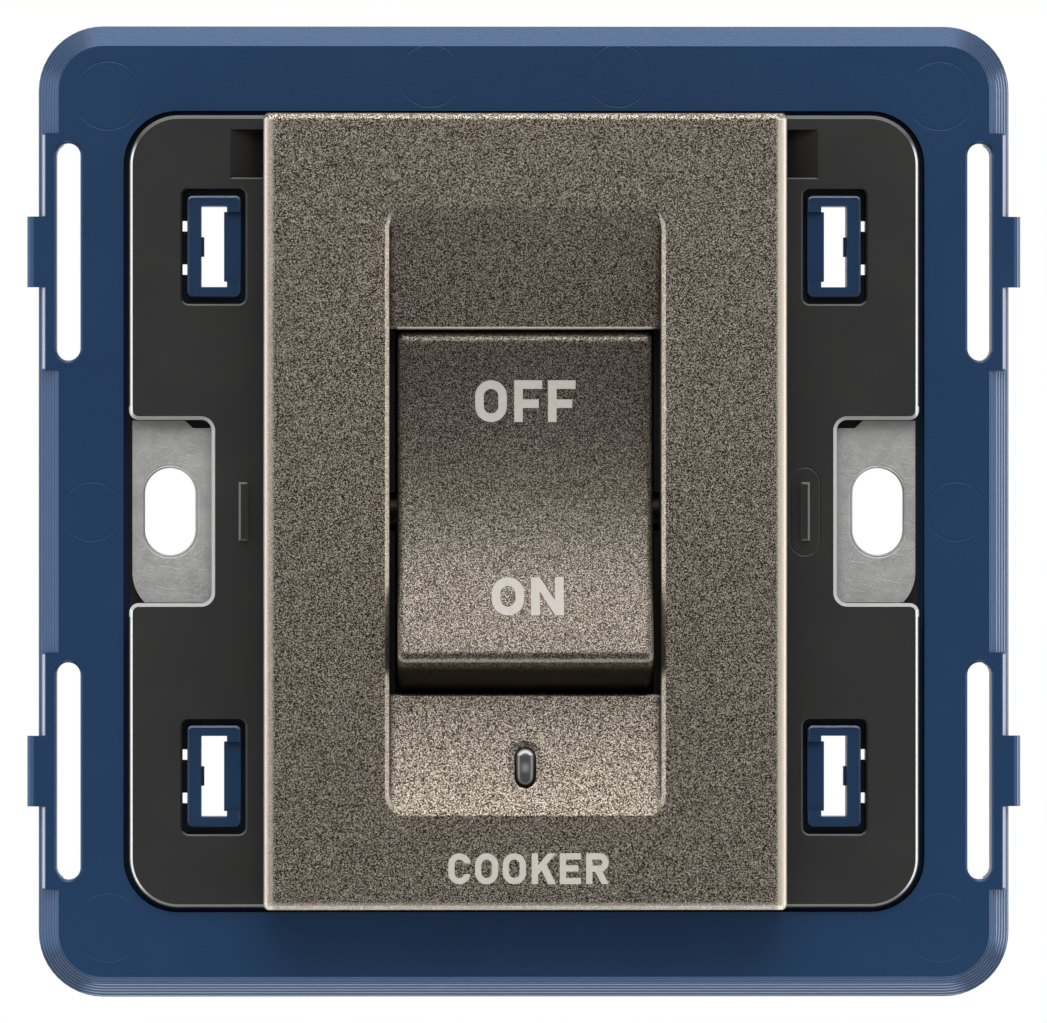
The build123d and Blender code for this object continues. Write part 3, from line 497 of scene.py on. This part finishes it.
def steelFinish(name):
    finish, tree, shader, place = newFinish(name, steel["shader"])
    speck = noise(tree, place, steel["speck"], 3.0)
    share = steel["cloudShare"]
    cloud = together(tree, noise(tree, place, steel["cloud"], 6.0), share)
    cloud = math2(tree, "ADD", cloud, together(tree, speck, 1 - share))
    paint(tree, shader, mottle(tree, cloud, steel["low"], steel["high"]))
    roughen(tree, shader, cloud, steel["rough"])
    height = together(tree, speck, steel["scratchDepth"])
    for turn in steel["scratchTurns"]:
        look = {"Vector": place, "Rotation": (0, math.radians(turn), 0)}
        turned = addNode(tree, "ShaderNodeMapping", look).outputs["Vector"]
        lines = noise(tree, turned, steel["scratch"], 1.0, steel["scratchStretch"])
        lines = together(tree, fade(tree, lines, *steel["scratchCut"]), steel["scratchDepth"])
        height = math2(tree, "SUBTRACT", height, lines)
    axes = axesOf(tree, place)
    away = lineDistance(tree, absolute(tree, axes["X"]), axes["Z"], *steel["slot"])
    ring = together(tree, lineMark(tree, away, steel["slotRadius"], steel["slotLine"]), steel["slotDepth"])
    bump(tree, shader, math2(tree, "SUBTRACT", height, ring))
    return finish


# plain mouldings and metals: a mottled colour, a mottled roughness and a fine bump
plain = {
    "white_plastic": {
        "low": (0.72, 0.72, 0.69), "high": (0.8, 0.8, 0.78), "patch": 3 * mm, "rough": (0.4, 0.5),
        "grain": 0.3 * mm, "depth": 0.004 * mm, "shader": {"Specular IOR Level": 0.5},
    },
    "spring_steel": {
        "low": (0.4, 0.4, 0.42), "high": (0.52, 0.52, 0.54), "patch": 1.5 * mm, "rough": (0.25, 0.35),
        "grain": 0.2 * mm, "depth": 0.003 * mm, "shader": {"Metallic": 1.0},
    },
    "copper": {
        "low": (0.55, 0.26, 0.15), "high": (0.68, 0.35, 0.21), "patch": 2.5 * mm, "rough": (0.28, 0.42),
        "grain": 0.25 * mm, "depth": 0.004 * mm, "stretch": (1, 1, 0.15), "shader": {"Metallic": 1.0},
    },
    "silver": {
        "low": (0.72, 0.72, 0.7), "high": (0.84, 0.84, 0.82), "patch": 1 * mm, "rough": (0.2, 0.34),
        "grain": 0.15 * mm, "depth": 0.003 * mm, "shader": {"Metallic": 1.0},
    },
    "brass": {
        "low": (0.46, 0.34, 0.135), "high": (0.56, 0.43, 0.2), "patch": 3 * mm, "rough": (0.26, 0.4),
        "grain": 0.2 * mm, "depth": 0.005 * mm, "stretch": (1, 0.2, 1), "shader": {"Metallic": 1.0},
    },
    "grey_base": {
        "low": (0.2, 0.2, 0.2), "high": (0.222, 0.222, 0.22), "patch": 5 * mm, "rough": (0.46, 0.54),
        "grain": 0.3 * mm, "depth": 0.012 * mm, "shader": {"Specular IOR Level": 0.5},
    },
    "resistor_body": {
        "low": (0.5, 0.37, 0.24), "high": (0.6, 0.47, 0.32), "patch": 1 * mm, "rough": (0.4, 0.5),
        "grain": 0.2 * mm, "depth": 0.006 * mm, "shader": {"Specular IOR Level": 0.5},
    },
    "tinned_wire": {
        "low": (0.56, 0.56, 0.56), "high": (0.66, 0.66, 0.66), "patch": 0.8 * mm, "rough": (0.24, 0.36),
        "grain": 0.1 * mm, "depth": 0.002 * mm, "shader": {"Metallic": 1.0},
    },
    "legend": {
        "low": (0.51, 0.475, 0.43), "high": (0.565, 0.525, 0.475), "patch": 0.5 * mm, "rough": (0.5, 0.6),
        "grain": 0.12 * mm, "depth": 0.004 * mm, "shader": {"Specular IOR Level": 0.4},
    },
    "coverLegend": {
        "low": (0.53, 0.49, 0.44), "high": (0.585, 0.545, 0.49), "patch": 0.3 * mm, "rough": (0.5, 0.6),
        "grain": 0.12 * mm, "depth": 0.004 * mm, "shader": {"Specular IOR Level": 0.4},
    },
}


def plainFinish(name, look):
    finish, tree, shader, place = newFinish(name, look["shader"])
    patch = noise(tree, place, look["patch"], 4.0)
    paint(tree, shader, mottle(tree, patch, look["low"], look["high"]))
    roughen(tree, shader, patch, look["rough"])
    bump(tree, shader, noise(tree, place, look["grain"], 2.0, look.get("stretch")), look["depth"])
    return finish


# glass of the lamp
glass = {
    "tint": (0.96, 0.9, 0.86),
    "cloud": (0.9, 0.8, 0.74),
    "patch": 2 * mm,
    "shader": {"Roughness": 0.06, "IOR": 1.5, "Transmission Weight": 0.9},
}


def glassFinish(name):
    finish, tree, shader, place = newFinish(name, glass["shader"])
    paint(tree, shader, mottle(tree, noise(tree, place, glass["patch"], 2.0), glass["tint"], glass["cloud"]))
    return finish


# smoky lens: a painted highlight under its upper end, a painted highlight ring, and a painted reflection
# lighter in the middle over the lamp
smoke = {
    "dark": (0.08, 0.08, 0.08),
    "glow": (0.28, 0.275, 0.265),
    "middle": (0.6 * mm, 0.05 * mm),
    "ring": (0.54 * mm, 0.12 * mm),
    "streak": (0.95, 0.95, 0.94),
    "streakWidth": 0.24 * mm,
    "streakAlong": (0.97 * mm, 1.12 * mm),
    "shader": {"Roughness": 0.12, "IOR": 1.49, "Transmission Weight": 0.2},
}


def lensFinish(name):
    finish, tree, shader, place = newFinish(name, smoke["shader"])
    axes = axesOf(tree, place)
    up = math2(tree, "SUBTRACT", axes["Z"], window["z"] * mm)
    away = lineDistance(tree, axes["X"], axes["Z"], 0.0, window["z"] * mm, window["half"] * mm)
    radius, width = smoke["ring"]
    # painted reflection in the middle and a painted highlight ring
    glow = together(tree, fade(tree, absolute(tree, up), *smoke["middle"]), fade(tree, away, radius, 0.0))
    glow = math2(tree, "MAXIMUM", glow, lineMark(tree, away, radius, width))
    colour = blend(tree, glow, smoke["dark"], smoke["glow"])
    # painted highlight under the upper end
    streak = lineMark(tree, away, radius, smoke["streakWidth"])
    streak = together(tree, streak, fade(tree, up, *smoke["streakAlong"]))
    paint(tree, shader, blend(tree, streak, colour, smoke["streak"]))
    return finish


finishes = {
    "bronze_paint": coverFinish("bronzeCover"),
    "clear_lens": lensFinish("smokyLens"),
    "blue_frame": blueFinish("blueMoulding"),
    "black_plate": blackFinish("blackPlate"),
    "zinc_steel": steelFinish("zincSteel"),
    "lamp_glass": glassFinish("lamp_glass"),
}
for slot, look in plain.items():
    finishes[slot] = plainFinish(slot, look)
for node, piece in nodes.items():
    piece.data.materials.clear()
    piece.data.materials.append(finishes[slotOf[node]])
nodes["rocker"].data.materials[0] = rockerFinish("bronzeRocker")
print("finishes made:", len(finishes))


# printed words, drawn as plain letters of one stroke width
coverFront = {"height": 11.5}
words = {
    "legendOff": {
        "body": "rocker", "finish": "legend", "top": 11.12, "bottom": 7.58, "stroke": 0.73,
        "letters": [("O", -4.22, 2.69), ("F", -0.91, 2.37), ("F", 1.95, 2.34)],
    },
    "legendOn": {
        "body": "rocker", "finish": "legend", "top": -5.57, "bottom": -8.77, "stroke": 0.73,
        "letters": [("O", -2.85, 2.74), ("N", 0.48, 2.76)],
    },
    "legendCooker": {
        "body": "switch_body", "finish": "coverLegend", "top": -28.88, "bottom": -31.5, "stroke": 0.535,
        "letters": [
            ("C", -6.52, 1.89), ("O", -4.26, 1.96), ("O", -1.92, 1.97),
            ("K", 0.53, 2.07), ("E", 2.9, 1.8), ("R", 5.13, 1.92),
        ],
    },
}
ink = {"proud": 0.03, "sunk": 0.03, "slice": 0.35, "arcSteps": 10, "merge": 0.001}
# shares of a letter's width and height, and of its stroke for the slanted legs
letterShape = {
    "bar": 0.44, "barE": 0.51, "arm": 0.88, "mouth": (0.33, 0.67), "slantN": 0.37, "leg": 1.12,
    "lowK": 0.3, "forkK": (0.2, 0.47), "legK": 1.15, "lowR": 0.4, "curveR": 0.3, "legR": 0.4, "legTopR": 1.05,
    "gapR": 0.02,
}


def corner(x, z, radius, start):
    angles = [math.radians(start + 90 * step / ink["arcSteps"]) for step in range(ink["arcSteps"] + 1)]
    return [(x + radius * math.cos(a), z + radius * math.sin(a)) for a in angles]


def ringPath(left, low, right, high, radius):
    path = corner(right - radius, high - radius, radius, 0)
    path += corner(left + radius, high - radius, radius, 90)
    path += corner(left + radius, low + radius, radius, 180)
    return path + corner(right - radius, low + radius, radius, 270)


def letterPaths(letter, w, h, s):
    shape = letterShape
    bar = h * (shape["barE"] if letter == "E" else shape["bar"])
    arm = shape["arm"] * w
    leg = shape["leg"] * s
    bowl = w / 2
    if letter in "OC":
        outer = ringPath(0, 0, w, h, bowl)
        inner = ringPath(s, s, w - s, h - s, bowl - s)
        if letter == "O":
            return [outer, inner]
        low, high = (share * h for share in shape["mouth"])
        return [[(w, high), *outer, (w, low), (w - s, low), *reversed(inner), (w - s, high)]]
    if letter in "EF":
        upper = [
            (s, bar - s / 2), (arm, bar - s / 2), (arm, bar + s / 2), (s, bar + s / 2),
            (s, h - s), (w, h - s), (w, h), (0, h),
        ]
        lower = [(0, 0), (w, 0), (w, s), (s, s)] if letter == "E" else [(0, 0), (s, 0)]
        return [lower + upper]
    if letter == "N":
        thick = shape["slantN"] * h
        return [[
            (0, 0), (s, 0), (s, h - thick), (w - s, 0), (w, 0),
            (w, h), (w - s, h), (w - s, thick), (s, h), (0, h),
        ]]
    if letter == "K":
        low = shape["lowK"] * h
        leg *= shape["legK"]
        rise = (h - low) / (w - s)
        fork = [(s + t * (w - s), low + t * (h - low)) for t in shape["forkK"]]
        return [[
            (0, 0), (s, 0), (s, low), fork[0], (w - leg, 0), (w, 0),
            fork[1], (w, h), (w - leg, h), (s, low + rise * leg), (s, h), (0, h),
        ]]
    low = shape["lowR"] * h
    curve = shape["curveR"] * h
    knee = shape["legR"] * w
    outer = [(0, 0), (s, 0), (s, low), (knee, low), (w - leg, 0), (w, 0)]
    outer += [(knee + shape["legTopR"] * leg, low + shape["gapR"])]
    outer += corner(w - curve, low + curve, curve, 270)
    outer += corner(w - curve, h - curve, curve, 0) + [(0, h)]
    hole = [(s, low + s), *corner(w - curve, low + curve, curve - s, 270)]
    hole += [*corner(w - curve, h - curve, curve - s, 0), (s, h - s)]
    return [outer, hole]


def rockerY(z):
    lean = math.radians(rockerFace["tilt"])
    along = z
    for _ in range(rockerFace["solveSteps"]):
        out = rockerFace["centre"] - math.sqrt(rockerFace["radius"] ** 2 - along**2)
        along = (z - out * math.sin(lean)) / math.cos(lean)
    out = rockerFace["centre"] - math.sqrt(rockerFace["radius"] ** 2 - along**2)
    return -rockerFace["pivot"] + along * math.sin(lean) - out * math.cos(lean)


def coverY(z):
    return -coverFront["height"]


def evaluatedMesh(holder):
    return bpy.data.meshes.new_from_object(holder.evaluated_get(bpy.context.evaluated_depsgraph_get()))


def makeWord(name, word, surface):
    drawn = bpy.data.curves.new(name, "CURVE")
    drawn.dimensions = "2D"
    drawn.fill_mode = "BOTH"
    high = word["top"] - word["bottom"]
    for letter, left, wide in word["letters"]:
        for path in letterPaths(letter, wide, high, word["stroke"]):
            spline = drawn.splines.new("POLY")
            spline.points.add(len(path) - 1)
            for point, (x, z) in zip(spline.points, path):
                point.co = (left + x, word["bottom"] + z, 0, 1)
            spline.use_cyclic_u = True
    holder = bpy.data.objects.new(name + "Path", drawn)
    bpy.context.scene.collection.objects.link(holder)
    flat = evaluatedMesh(holder)
    bpy.data.objects.remove(holder)
    body = bmesh.new()
    body.from_mesh(flat)
    bmesh.ops.remove_doubles(body, verts=body.verts, dist=ink["merge"])
    level = word["bottom"] + ink["slice"]
    while level < word["top"]:
        everything = body.verts[:] + body.edges[:] + body.faces[:]
        bmesh.ops.bisect_plane(body, geom=everything, plane_co=(0, level, 0), plane_no=(0, 1, 0))
        level += ink["slice"]
    lifted = bmesh.ops.extrude_face_region(body, geom=body.faces[:])
    top = {v for v in lifted["geom"] if isinstance(v, bmesh.types.BMVert)}
    for v in body.verts:
        lift = ink["proud"] if v in top else -ink["sunk"]
        v.co = Vector((v.co.x, surface(v.co.y) - lift, v.co.y)) * mm
    bmesh.ops.recalc_face_normals(body, faces=body.faces)
    mesh = bpy.data.meshes.new(name)
    body.to_mesh(mesh)
    body.free()
    mesh.materials.append(finishes[word["finish"]])
    piece = bpy.data.objects.new(name, mesh)
    bpy.context.scene.collection.objects.link(piece)
    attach(piece, word["body"])
    return piece


for name, word in words.items():
    piece = makeWord(name, word, rockerY if word["body"] == "rocker" else coverY)
    print(name, "has", len(piece.data.polygons), "faces")


# small helpers for geometry node trees
def newTree(name, sizes):
    tree = bpy.data.node_groups.new(name, "GeometryNodeTree")
    tree.is_modifier = True
    for size in sizes:
        tree.interface.new_socket(size, in_out="INPUT", socket_type="NodeSocketFloat")
    tree.interface.new_socket("Finish", in_out="INPUT", socket_type="NodeSocketMaterial")
    tree.interface.new_socket("Geometry", in_out="OUTPUT", socket_type="NodeSocketGeometry")
    return tree, tree.nodes.new("NodeGroupInput").outputs


def endTree(tree, shape, finish, sharp=None):
    shape = addNode(tree, "GeometryNodeRealizeInstances", {"Geometry": shape}).outputs[0]
    shape = addNode(tree, "GeometryNodeSetShadeSmooth", {0: shape}).outputs[0]
    if sharp is not None:
        angle = addNode(tree, "GeometryNodeInputMeshEdgeAngle").outputs["Unsigned Angle"]
        look = {0: shape, "Selection": compare(tree, angle, sharp), "Shade Smooth": False}
        shape = addNode(tree, "GeometryNodeSetShadeSmooth", look, domain="EDGE").outputs[0]
    shape = addNode(tree, "GeometryNodeSetMaterial", {"Geometry": shape, "Material": finish}).outputs[0]
    addNode(tree, "NodeGroupOutput", {"Geometry": shape})


def compare(tree, value, limit):
    return addNode(tree, "FunctionNodeCompare", {0: value, 1: limit}, operation="GREATER_THAN").outputs[0]


def shift(tree, shape, place):
    return addNode(tree, "GeometryNodeTransform", {"Geometry": shape, "Translation": place}).outputs[0]


# the evaluated tree as a plain mesh of its own
def runTree(name, tree, sizes, finish):
    holder = bpy.data.objects.new(name, bpy.data.meshes.new(name + "Seed"))
    bpy.context.scene.collection.objects.link(holder)
    modifier = holder.modifiers.new(name, "NODES")
    modifier.node_group = tree
    for socket in tree.interface.items_tree:
        if socket.in_out == "INPUT":
            modifier[socket.identifier] = finish if socket.name == "Finish" else sizes[socket.name]
    mesh = evaluatedMesh(holder)
    mesh.name = name
    holder.modifiers.remove(modifier)
    holder.data = mesh
    return holder


# the four screws that hold the base, heads to the back
housingScrews = {
    "Head Radius": 2.2 * mm, "Head Wall": 1.05 * mm, "Head Crown": 0.65 * mm, "Crown Radius": 1.65 * mm,
    "Head Level": 0.8 * mm, "Shank Radius": 1.3 * mm, "Shank Length": 5.2 * mm,
    "Cross Length": 2.7 * mm, "Cross Width": 0.62 * mm, "Cross Depth": 1.0 * mm,
    "Spacing X": 34.0 * mm, "Spacing Z": 61.5 * mm,
}
screwMesh = {"headSides": 40, "shankSides": 24, "sharp": math.radians(35)}


def screwTree():
    tree, size = newTree("housingScrewTree", housingScrews)
    wall = math2(tree, "ADD", size["Head Level"], size["Head Wall"])
    top = math2(tree, "ADD", wall, size["Head Crown"])
    look = {"Vertices": screwMesh["headSides"], "Radius": size["Head Radius"], "Depth": size["Head Wall"]}
    head = addNode(tree, "GeometryNodeMeshCylinder", look).outputs["Mesh"]
    half = math2(tree, "MULTIPLY", size["Head Wall"], 0.5)
    head = shift(tree, head, vector(tree, z=math2(tree, "ADD", size["Head Level"], half)))
    look = {"Vertices": screwMesh["headSides"], "Side Segments": 1, "Depth": size["Head Crown"]}
    look.update({"Radius Bottom": size["Head Radius"], "Radius Top": size["Crown Radius"]})
    crown = addNode(tree, "GeometryNodeMeshCone", look).outputs["Mesh"]
    crown = shift(tree, crown, vector(tree, z=wall))
    look = {"Vertices": screwMesh["shankSides"], "Depth": size["Shank Length"]}
    look["Radius"] = size["Shank Radius"]
    shank = addNode(tree, "GeometryNodeMeshCylinder", look).outputs["Mesh"]
    half = math2(tree, "MULTIPLY", size["Shank Length"], 0.5)
    shank = shift(tree, shank, vector(tree, z=math2(tree, "SUBTRACT", size["Head Level"], half)))
    whole = addNode(tree, "GeometryNodeMeshBoolean", operation="UNION")
    for part in (head, crown, shank):
        tree.links.new(part, whole.inputs["Mesh 2"])
    cut = addNode(tree, "GeometryNodeMeshBoolean", {"Mesh 1": whole.outputs["Mesh"]}, operation="DIFFERENCE")
    tall = math2(tree, "MULTIPLY", size["Cross Depth"], 2.0)
    for x, y in (("Cross Length", "Cross Width"), ("Cross Width", "Cross Length")):
        bar = addNode(tree, "GeometryNodeMeshCube", {"Size": vector(tree, size[x], size[y], tall)})
        tree.links.new(shift(tree, bar.outputs["Mesh"], vector(tree, z=top)), cut.inputs["Mesh 2"])
    look = {"Size X": size["Spacing X"], "Size Y": size["Spacing Z"], "Vertices X": 2, "Vertices Y": 2}
    spots = addNode(tree, "GeometryNodeMeshGrid", look).outputs["Mesh"]
    look = {"Points": spots, "Instance": cut.outputs["Mesh"]}
    screws = addNode(tree, "GeometryNodeInstanceOnPoints", look).outputs[0]
    look = {"Geometry": screws, "Rotation": (-math.pi / 2, 0, 0)}
    screws = addNode(tree, "GeometryNodeTransform", look).outputs[0]
    endTree(tree, screws, size["Finish"], screwMesh["sharp"])
    return tree


screws = runTree("crossScrews", screwTree(), housingScrews, finishes["zinc_steel"])
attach(screws, "switch_body")
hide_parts("housing_screws")
print("screws have", len(screws.data.polygons), "faces")


# the coil springs in the rocker's tubes, made at one length
coil = {"Turns": 4.0, "Coil Radius": 1.65 * mm, "Wire Radius": 0.24 * mm, "Height": 5.1 * mm}
coilMesh = {"steps": 24, "wireSides": 10}
coilPlace = {"x": 5.2, "first": -2.1, "roof": 3.3, "travel": 1.2, "loose": 5.65}


def coilTree():
    tree, size = newTree("springTree", coil)
    look = {"Resolution": coilMesh["steps"], "Rotations": size["Turns"], "Start Radius": size["Coil Radius"]}
    look.update({"End Radius": size["Coil Radius"], "Height": size["Height"]})
    path = addNode(tree, "GeometryNodeCurveSpiral", look).outputs[0]
    look = {"Resolution": coilMesh["wireSides"], "Radius": size["Wire Radius"]}
    wire = addNode(tree, "GeometryNodeCurvePrimitiveCircle", look)
    look = {"Curve": path, "Profile Curve": wire.outputs[0], "Fill Caps": True}
    endTree(tree, addNode(tree, "GeometryNodeCurveToMesh", look).outputs[0], size["Finish"])
    return tree


lean = math.radians(rockerFace["tilt"])
outwards = Vector((0, -math.cos(lean), math.sin(lean)))
pivot = Vector((0, -rockerFace["pivot"], 0))
coils = coilTree()
for pole, side in (("line", 1), ("neutral", -1)):
    spring = runTree("coilSpring" + pole.capitalize(), coils, coil, finishes["spring_steel"])
    foot = (pivot + outwards * coilPlace["first"] + Vector((side * coilPlace["x"], 0, 0))) * mm
    turned = Vector((0, 0, 1)).rotation_difference(outwards).to_matrix().to_4x4()
    spring.data.transform(Matrix.Translation(foot) @ turned)
    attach(spring, "rocker")
    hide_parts("plunger_spring_" + pole)
    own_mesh(spring)
    print("spring", pole, "has", len(spring.data.polygons), "faces")


# domed lens of the lamp window, an upright slot shape with a flange behind the cover
lens = {
    "radius": 0.81, "flange": 1.51, "back": 7.4, "flangeTop": 8.3, "shoulder": 10.16, "top": 10.739,
    "steps": 14, "domeSteps": 7, "domeTurn": 0.47 * math.pi, "sharp": math.radians(40),
}


def slotRing(body, radius, height):
    ring = []
    for end in (1, -1):
        for step in range(lens["steps"] + 1):
            turn = math.pi * step / lens["steps"] + (0 if end > 0 else math.pi)
            z = window["z"] + end * window["half"] + radius * math.sin(turn)
            ring.append(body.verts.new(Vector((radius * math.cos(turn), -height, z)) * mm))
    return ring


def makeLens(name):
    body = bmesh.new()
    flange, radius = lens["flange"], lens["radius"]
    levels = [(flange, lens["back"]), (flange, lens["flangeTop"]), (radius, lens["flangeTop"])]
    rise = (lens["top"] - lens["shoulder"]) / math.sin(lens["domeTurn"])
    for step in range(lens["domeSteps"] + 1):
        turn = lens["domeTurn"] * step / lens["domeSteps"]
        levels.append((radius * math.cos(turn), lens["shoulder"] + rise * math.sin(turn)))
    rings = [slotRing(body, *level) for level in levels]
    for low, high in zip(rings, rings[1:]):
        for step in range(len(low)):
            after = (step + 1) % len(low)
            body.faces.new((low[step], low[after], high[after], high[step]))
    body.faces.new(list(reversed(rings[0])))
    body.faces.new(rings[-1])
    bmesh.ops.recalc_face_normals(body, faces=body.faces)
    for face in body.faces:
        face.smooth = True
    for edge in body.edges:
        edge.smooth = edge.calc_face_angle(0) < lens["sharp"]
    mesh = bpy.data.meshes.new(name)
    body.to_mesh(mesh)
    body.free()
    mesh.materials.append(finishes["clear_lens"])
    piece = bpy.data.objects.new(name, mesh)
    bpy.context.scene.collection.objects.link(piece)
    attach(piece, "switch_body")
    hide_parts("indicator_lens")
    return piece


print("lens has", len(makeLens("domedLens").data.polygons), "faces")


# floor, lamps, world and camera
stage = {
    "floorLevel": -80 * mm,
    "floorFront": -0.062,
    "floorBack": 0.26,
    "floorSide": 0.4,
    "floorColour": (0.86, 0.86, 0.86),
    "floorRough": 0.7,
    "cardDistance": -1.7,
    "cardTop": 0.55,
    "cardBottom": -1.8,
    "cardSide": 1.3,
    "cardColour": (0.22, 0.22, 0.22),
    "cardRough": 0.9,
    "patch": 80 * mm,
    "patchTone": 0.97,
    "fillLow": 0.31,
    "fillHigh": 1.0,
}
# place, size, the way it faces and brightness of each soft panel
lamps = {
    "roofPanel": {"place": (0, -0.1, 0.8), "size": (0.9, 0.8), "faces": (0, 0, -1), "glow": 1.4},
    "frontPanel": {"place": (0, -1.0, 0.8), "size": (1.1, 1.0), "faces": (0, 0, -1), "glow": 2.75},
    "leftPanel": {"place": (-0.85, -0.1, 0.05), "size": (0.8, 0.6), "faces": (1, 0, 0), "glow": 1.7},
    "rightPanel": {"place": (0.85, -0.1, 0.05), "size": (0.8, 0.6), "faces": (-1, 0, 0), "glow": 2.0},
}
view = {"distance": 1.0, "turn": 0.8, "lens": 402.2, "sensor": 36.0, "reach": 20}


def makePlane(name, corners, colour, rough):
    mesh = bpy.data.meshes.new(name)
    mesh.from_pydata(corners, [], [(0, 1, 2, 3)])
    finish, tree, shader, place = newFinish(name, {"Roughness": rough})
    tone = tuple(stage["patchTone"] * c for c in colour)
    paint(tree, shader, mottle(tree, noise(tree, place, stage["patch"], 2.0), tone, colour))
    mesh.materials.append(finish)
    plane = bpy.data.objects.new(name, mesh)
    bpy.context.scene.collection.objects.link(plane)
    return plane


side, level = stage["floorSide"], stage["floorLevel"]
front, back = stage["floorFront"], stage["floorBack"]
corners = [(-side, front, level), (side, front, level), (side, back, level), (-side, back, level)]
makePlane("floor", corners, stage["floorColour"], stage["floorRough"])
side, away = stage["cardSide"], stage["cardDistance"]
low, high = stage["cardBottom"], stage["cardTop"]
corners = [(-side, away, low), (-side, away, high), (side, away, high), (side, away, low)]
card = makePlane("frontCard", corners, stage["cardColour"], stage["cardRough"])
card.visible_camera = False

for name, lamp in lamps.items():
    data = bpy.data.lights.new(name, "AREA")
    data.shape = "RECTANGLE"
    data.size, data.size_y = lamp["size"]
    data.energy = math.pi * lamp["glow"] * data.size * data.size_y
    box = bpy.data.objects.new(name, data)
    box.location = lamp["place"]
    upwards = "Z" if lamp["faces"][0] else "Y"
    box.rotation_euler = Vector(lamp["faces"]).to_track_quat("-Z", upwards).to_euler()
    box.visible_camera = False
    bpy.context.scene.collection.objects.link(box)

world = bpy.data.worlds.new("studio")
world.use_nodes = True
bpy.context.scene.world = world
tree = world.node_tree
rays = addNode(tree, "ShaderNodeLightPath").outputs
seen = math2(tree, "MAXIMUM", rays["Is Camera Ray"], rays["Is Glossy Ray"])
seen = math2(tree, "MAXIMUM", seen, rays["Is Transmission Ray"])
way = axesOf(tree, addNode(tree, "ShaderNodeTexCoord").outputs["Generated"])
fill = remap(tree, way["Z"], -1.0, 1.0, stage["fillLow"], stage["fillHigh"])
glow = remap(tree, seen, 0.0, 1.0, fill, 1.0)  # white where it is seen or mirrored
tree.links.new(glow, tree.nodes["Background"].inputs["Strength"])
tree.nodes["Background"].inputs["Color"].default_value = (1, 1, 1, 1)

cameraData = bpy.data.cameras.new("camera")
cameraData.sensor_width = view["sensor"]
cameraData.lens = view["lens"]
cameraData.clip_end = view["reach"]
camera = bpy.data.objects.new("camera", cameraData)
turn = math.radians(view["turn"])
camera.location = (-view["distance"] * math.sin(turn), -view["distance"] * math.cos(turn), 0)
camera.rotation_euler = (math.pi / 2, 0, -turn)
bpy.context.scene.collection.objects.link(camera)
bpy.context.scene.camera = camera
bpy.context.scene.view_settings.view_transform = "Standard"
print("stage set")
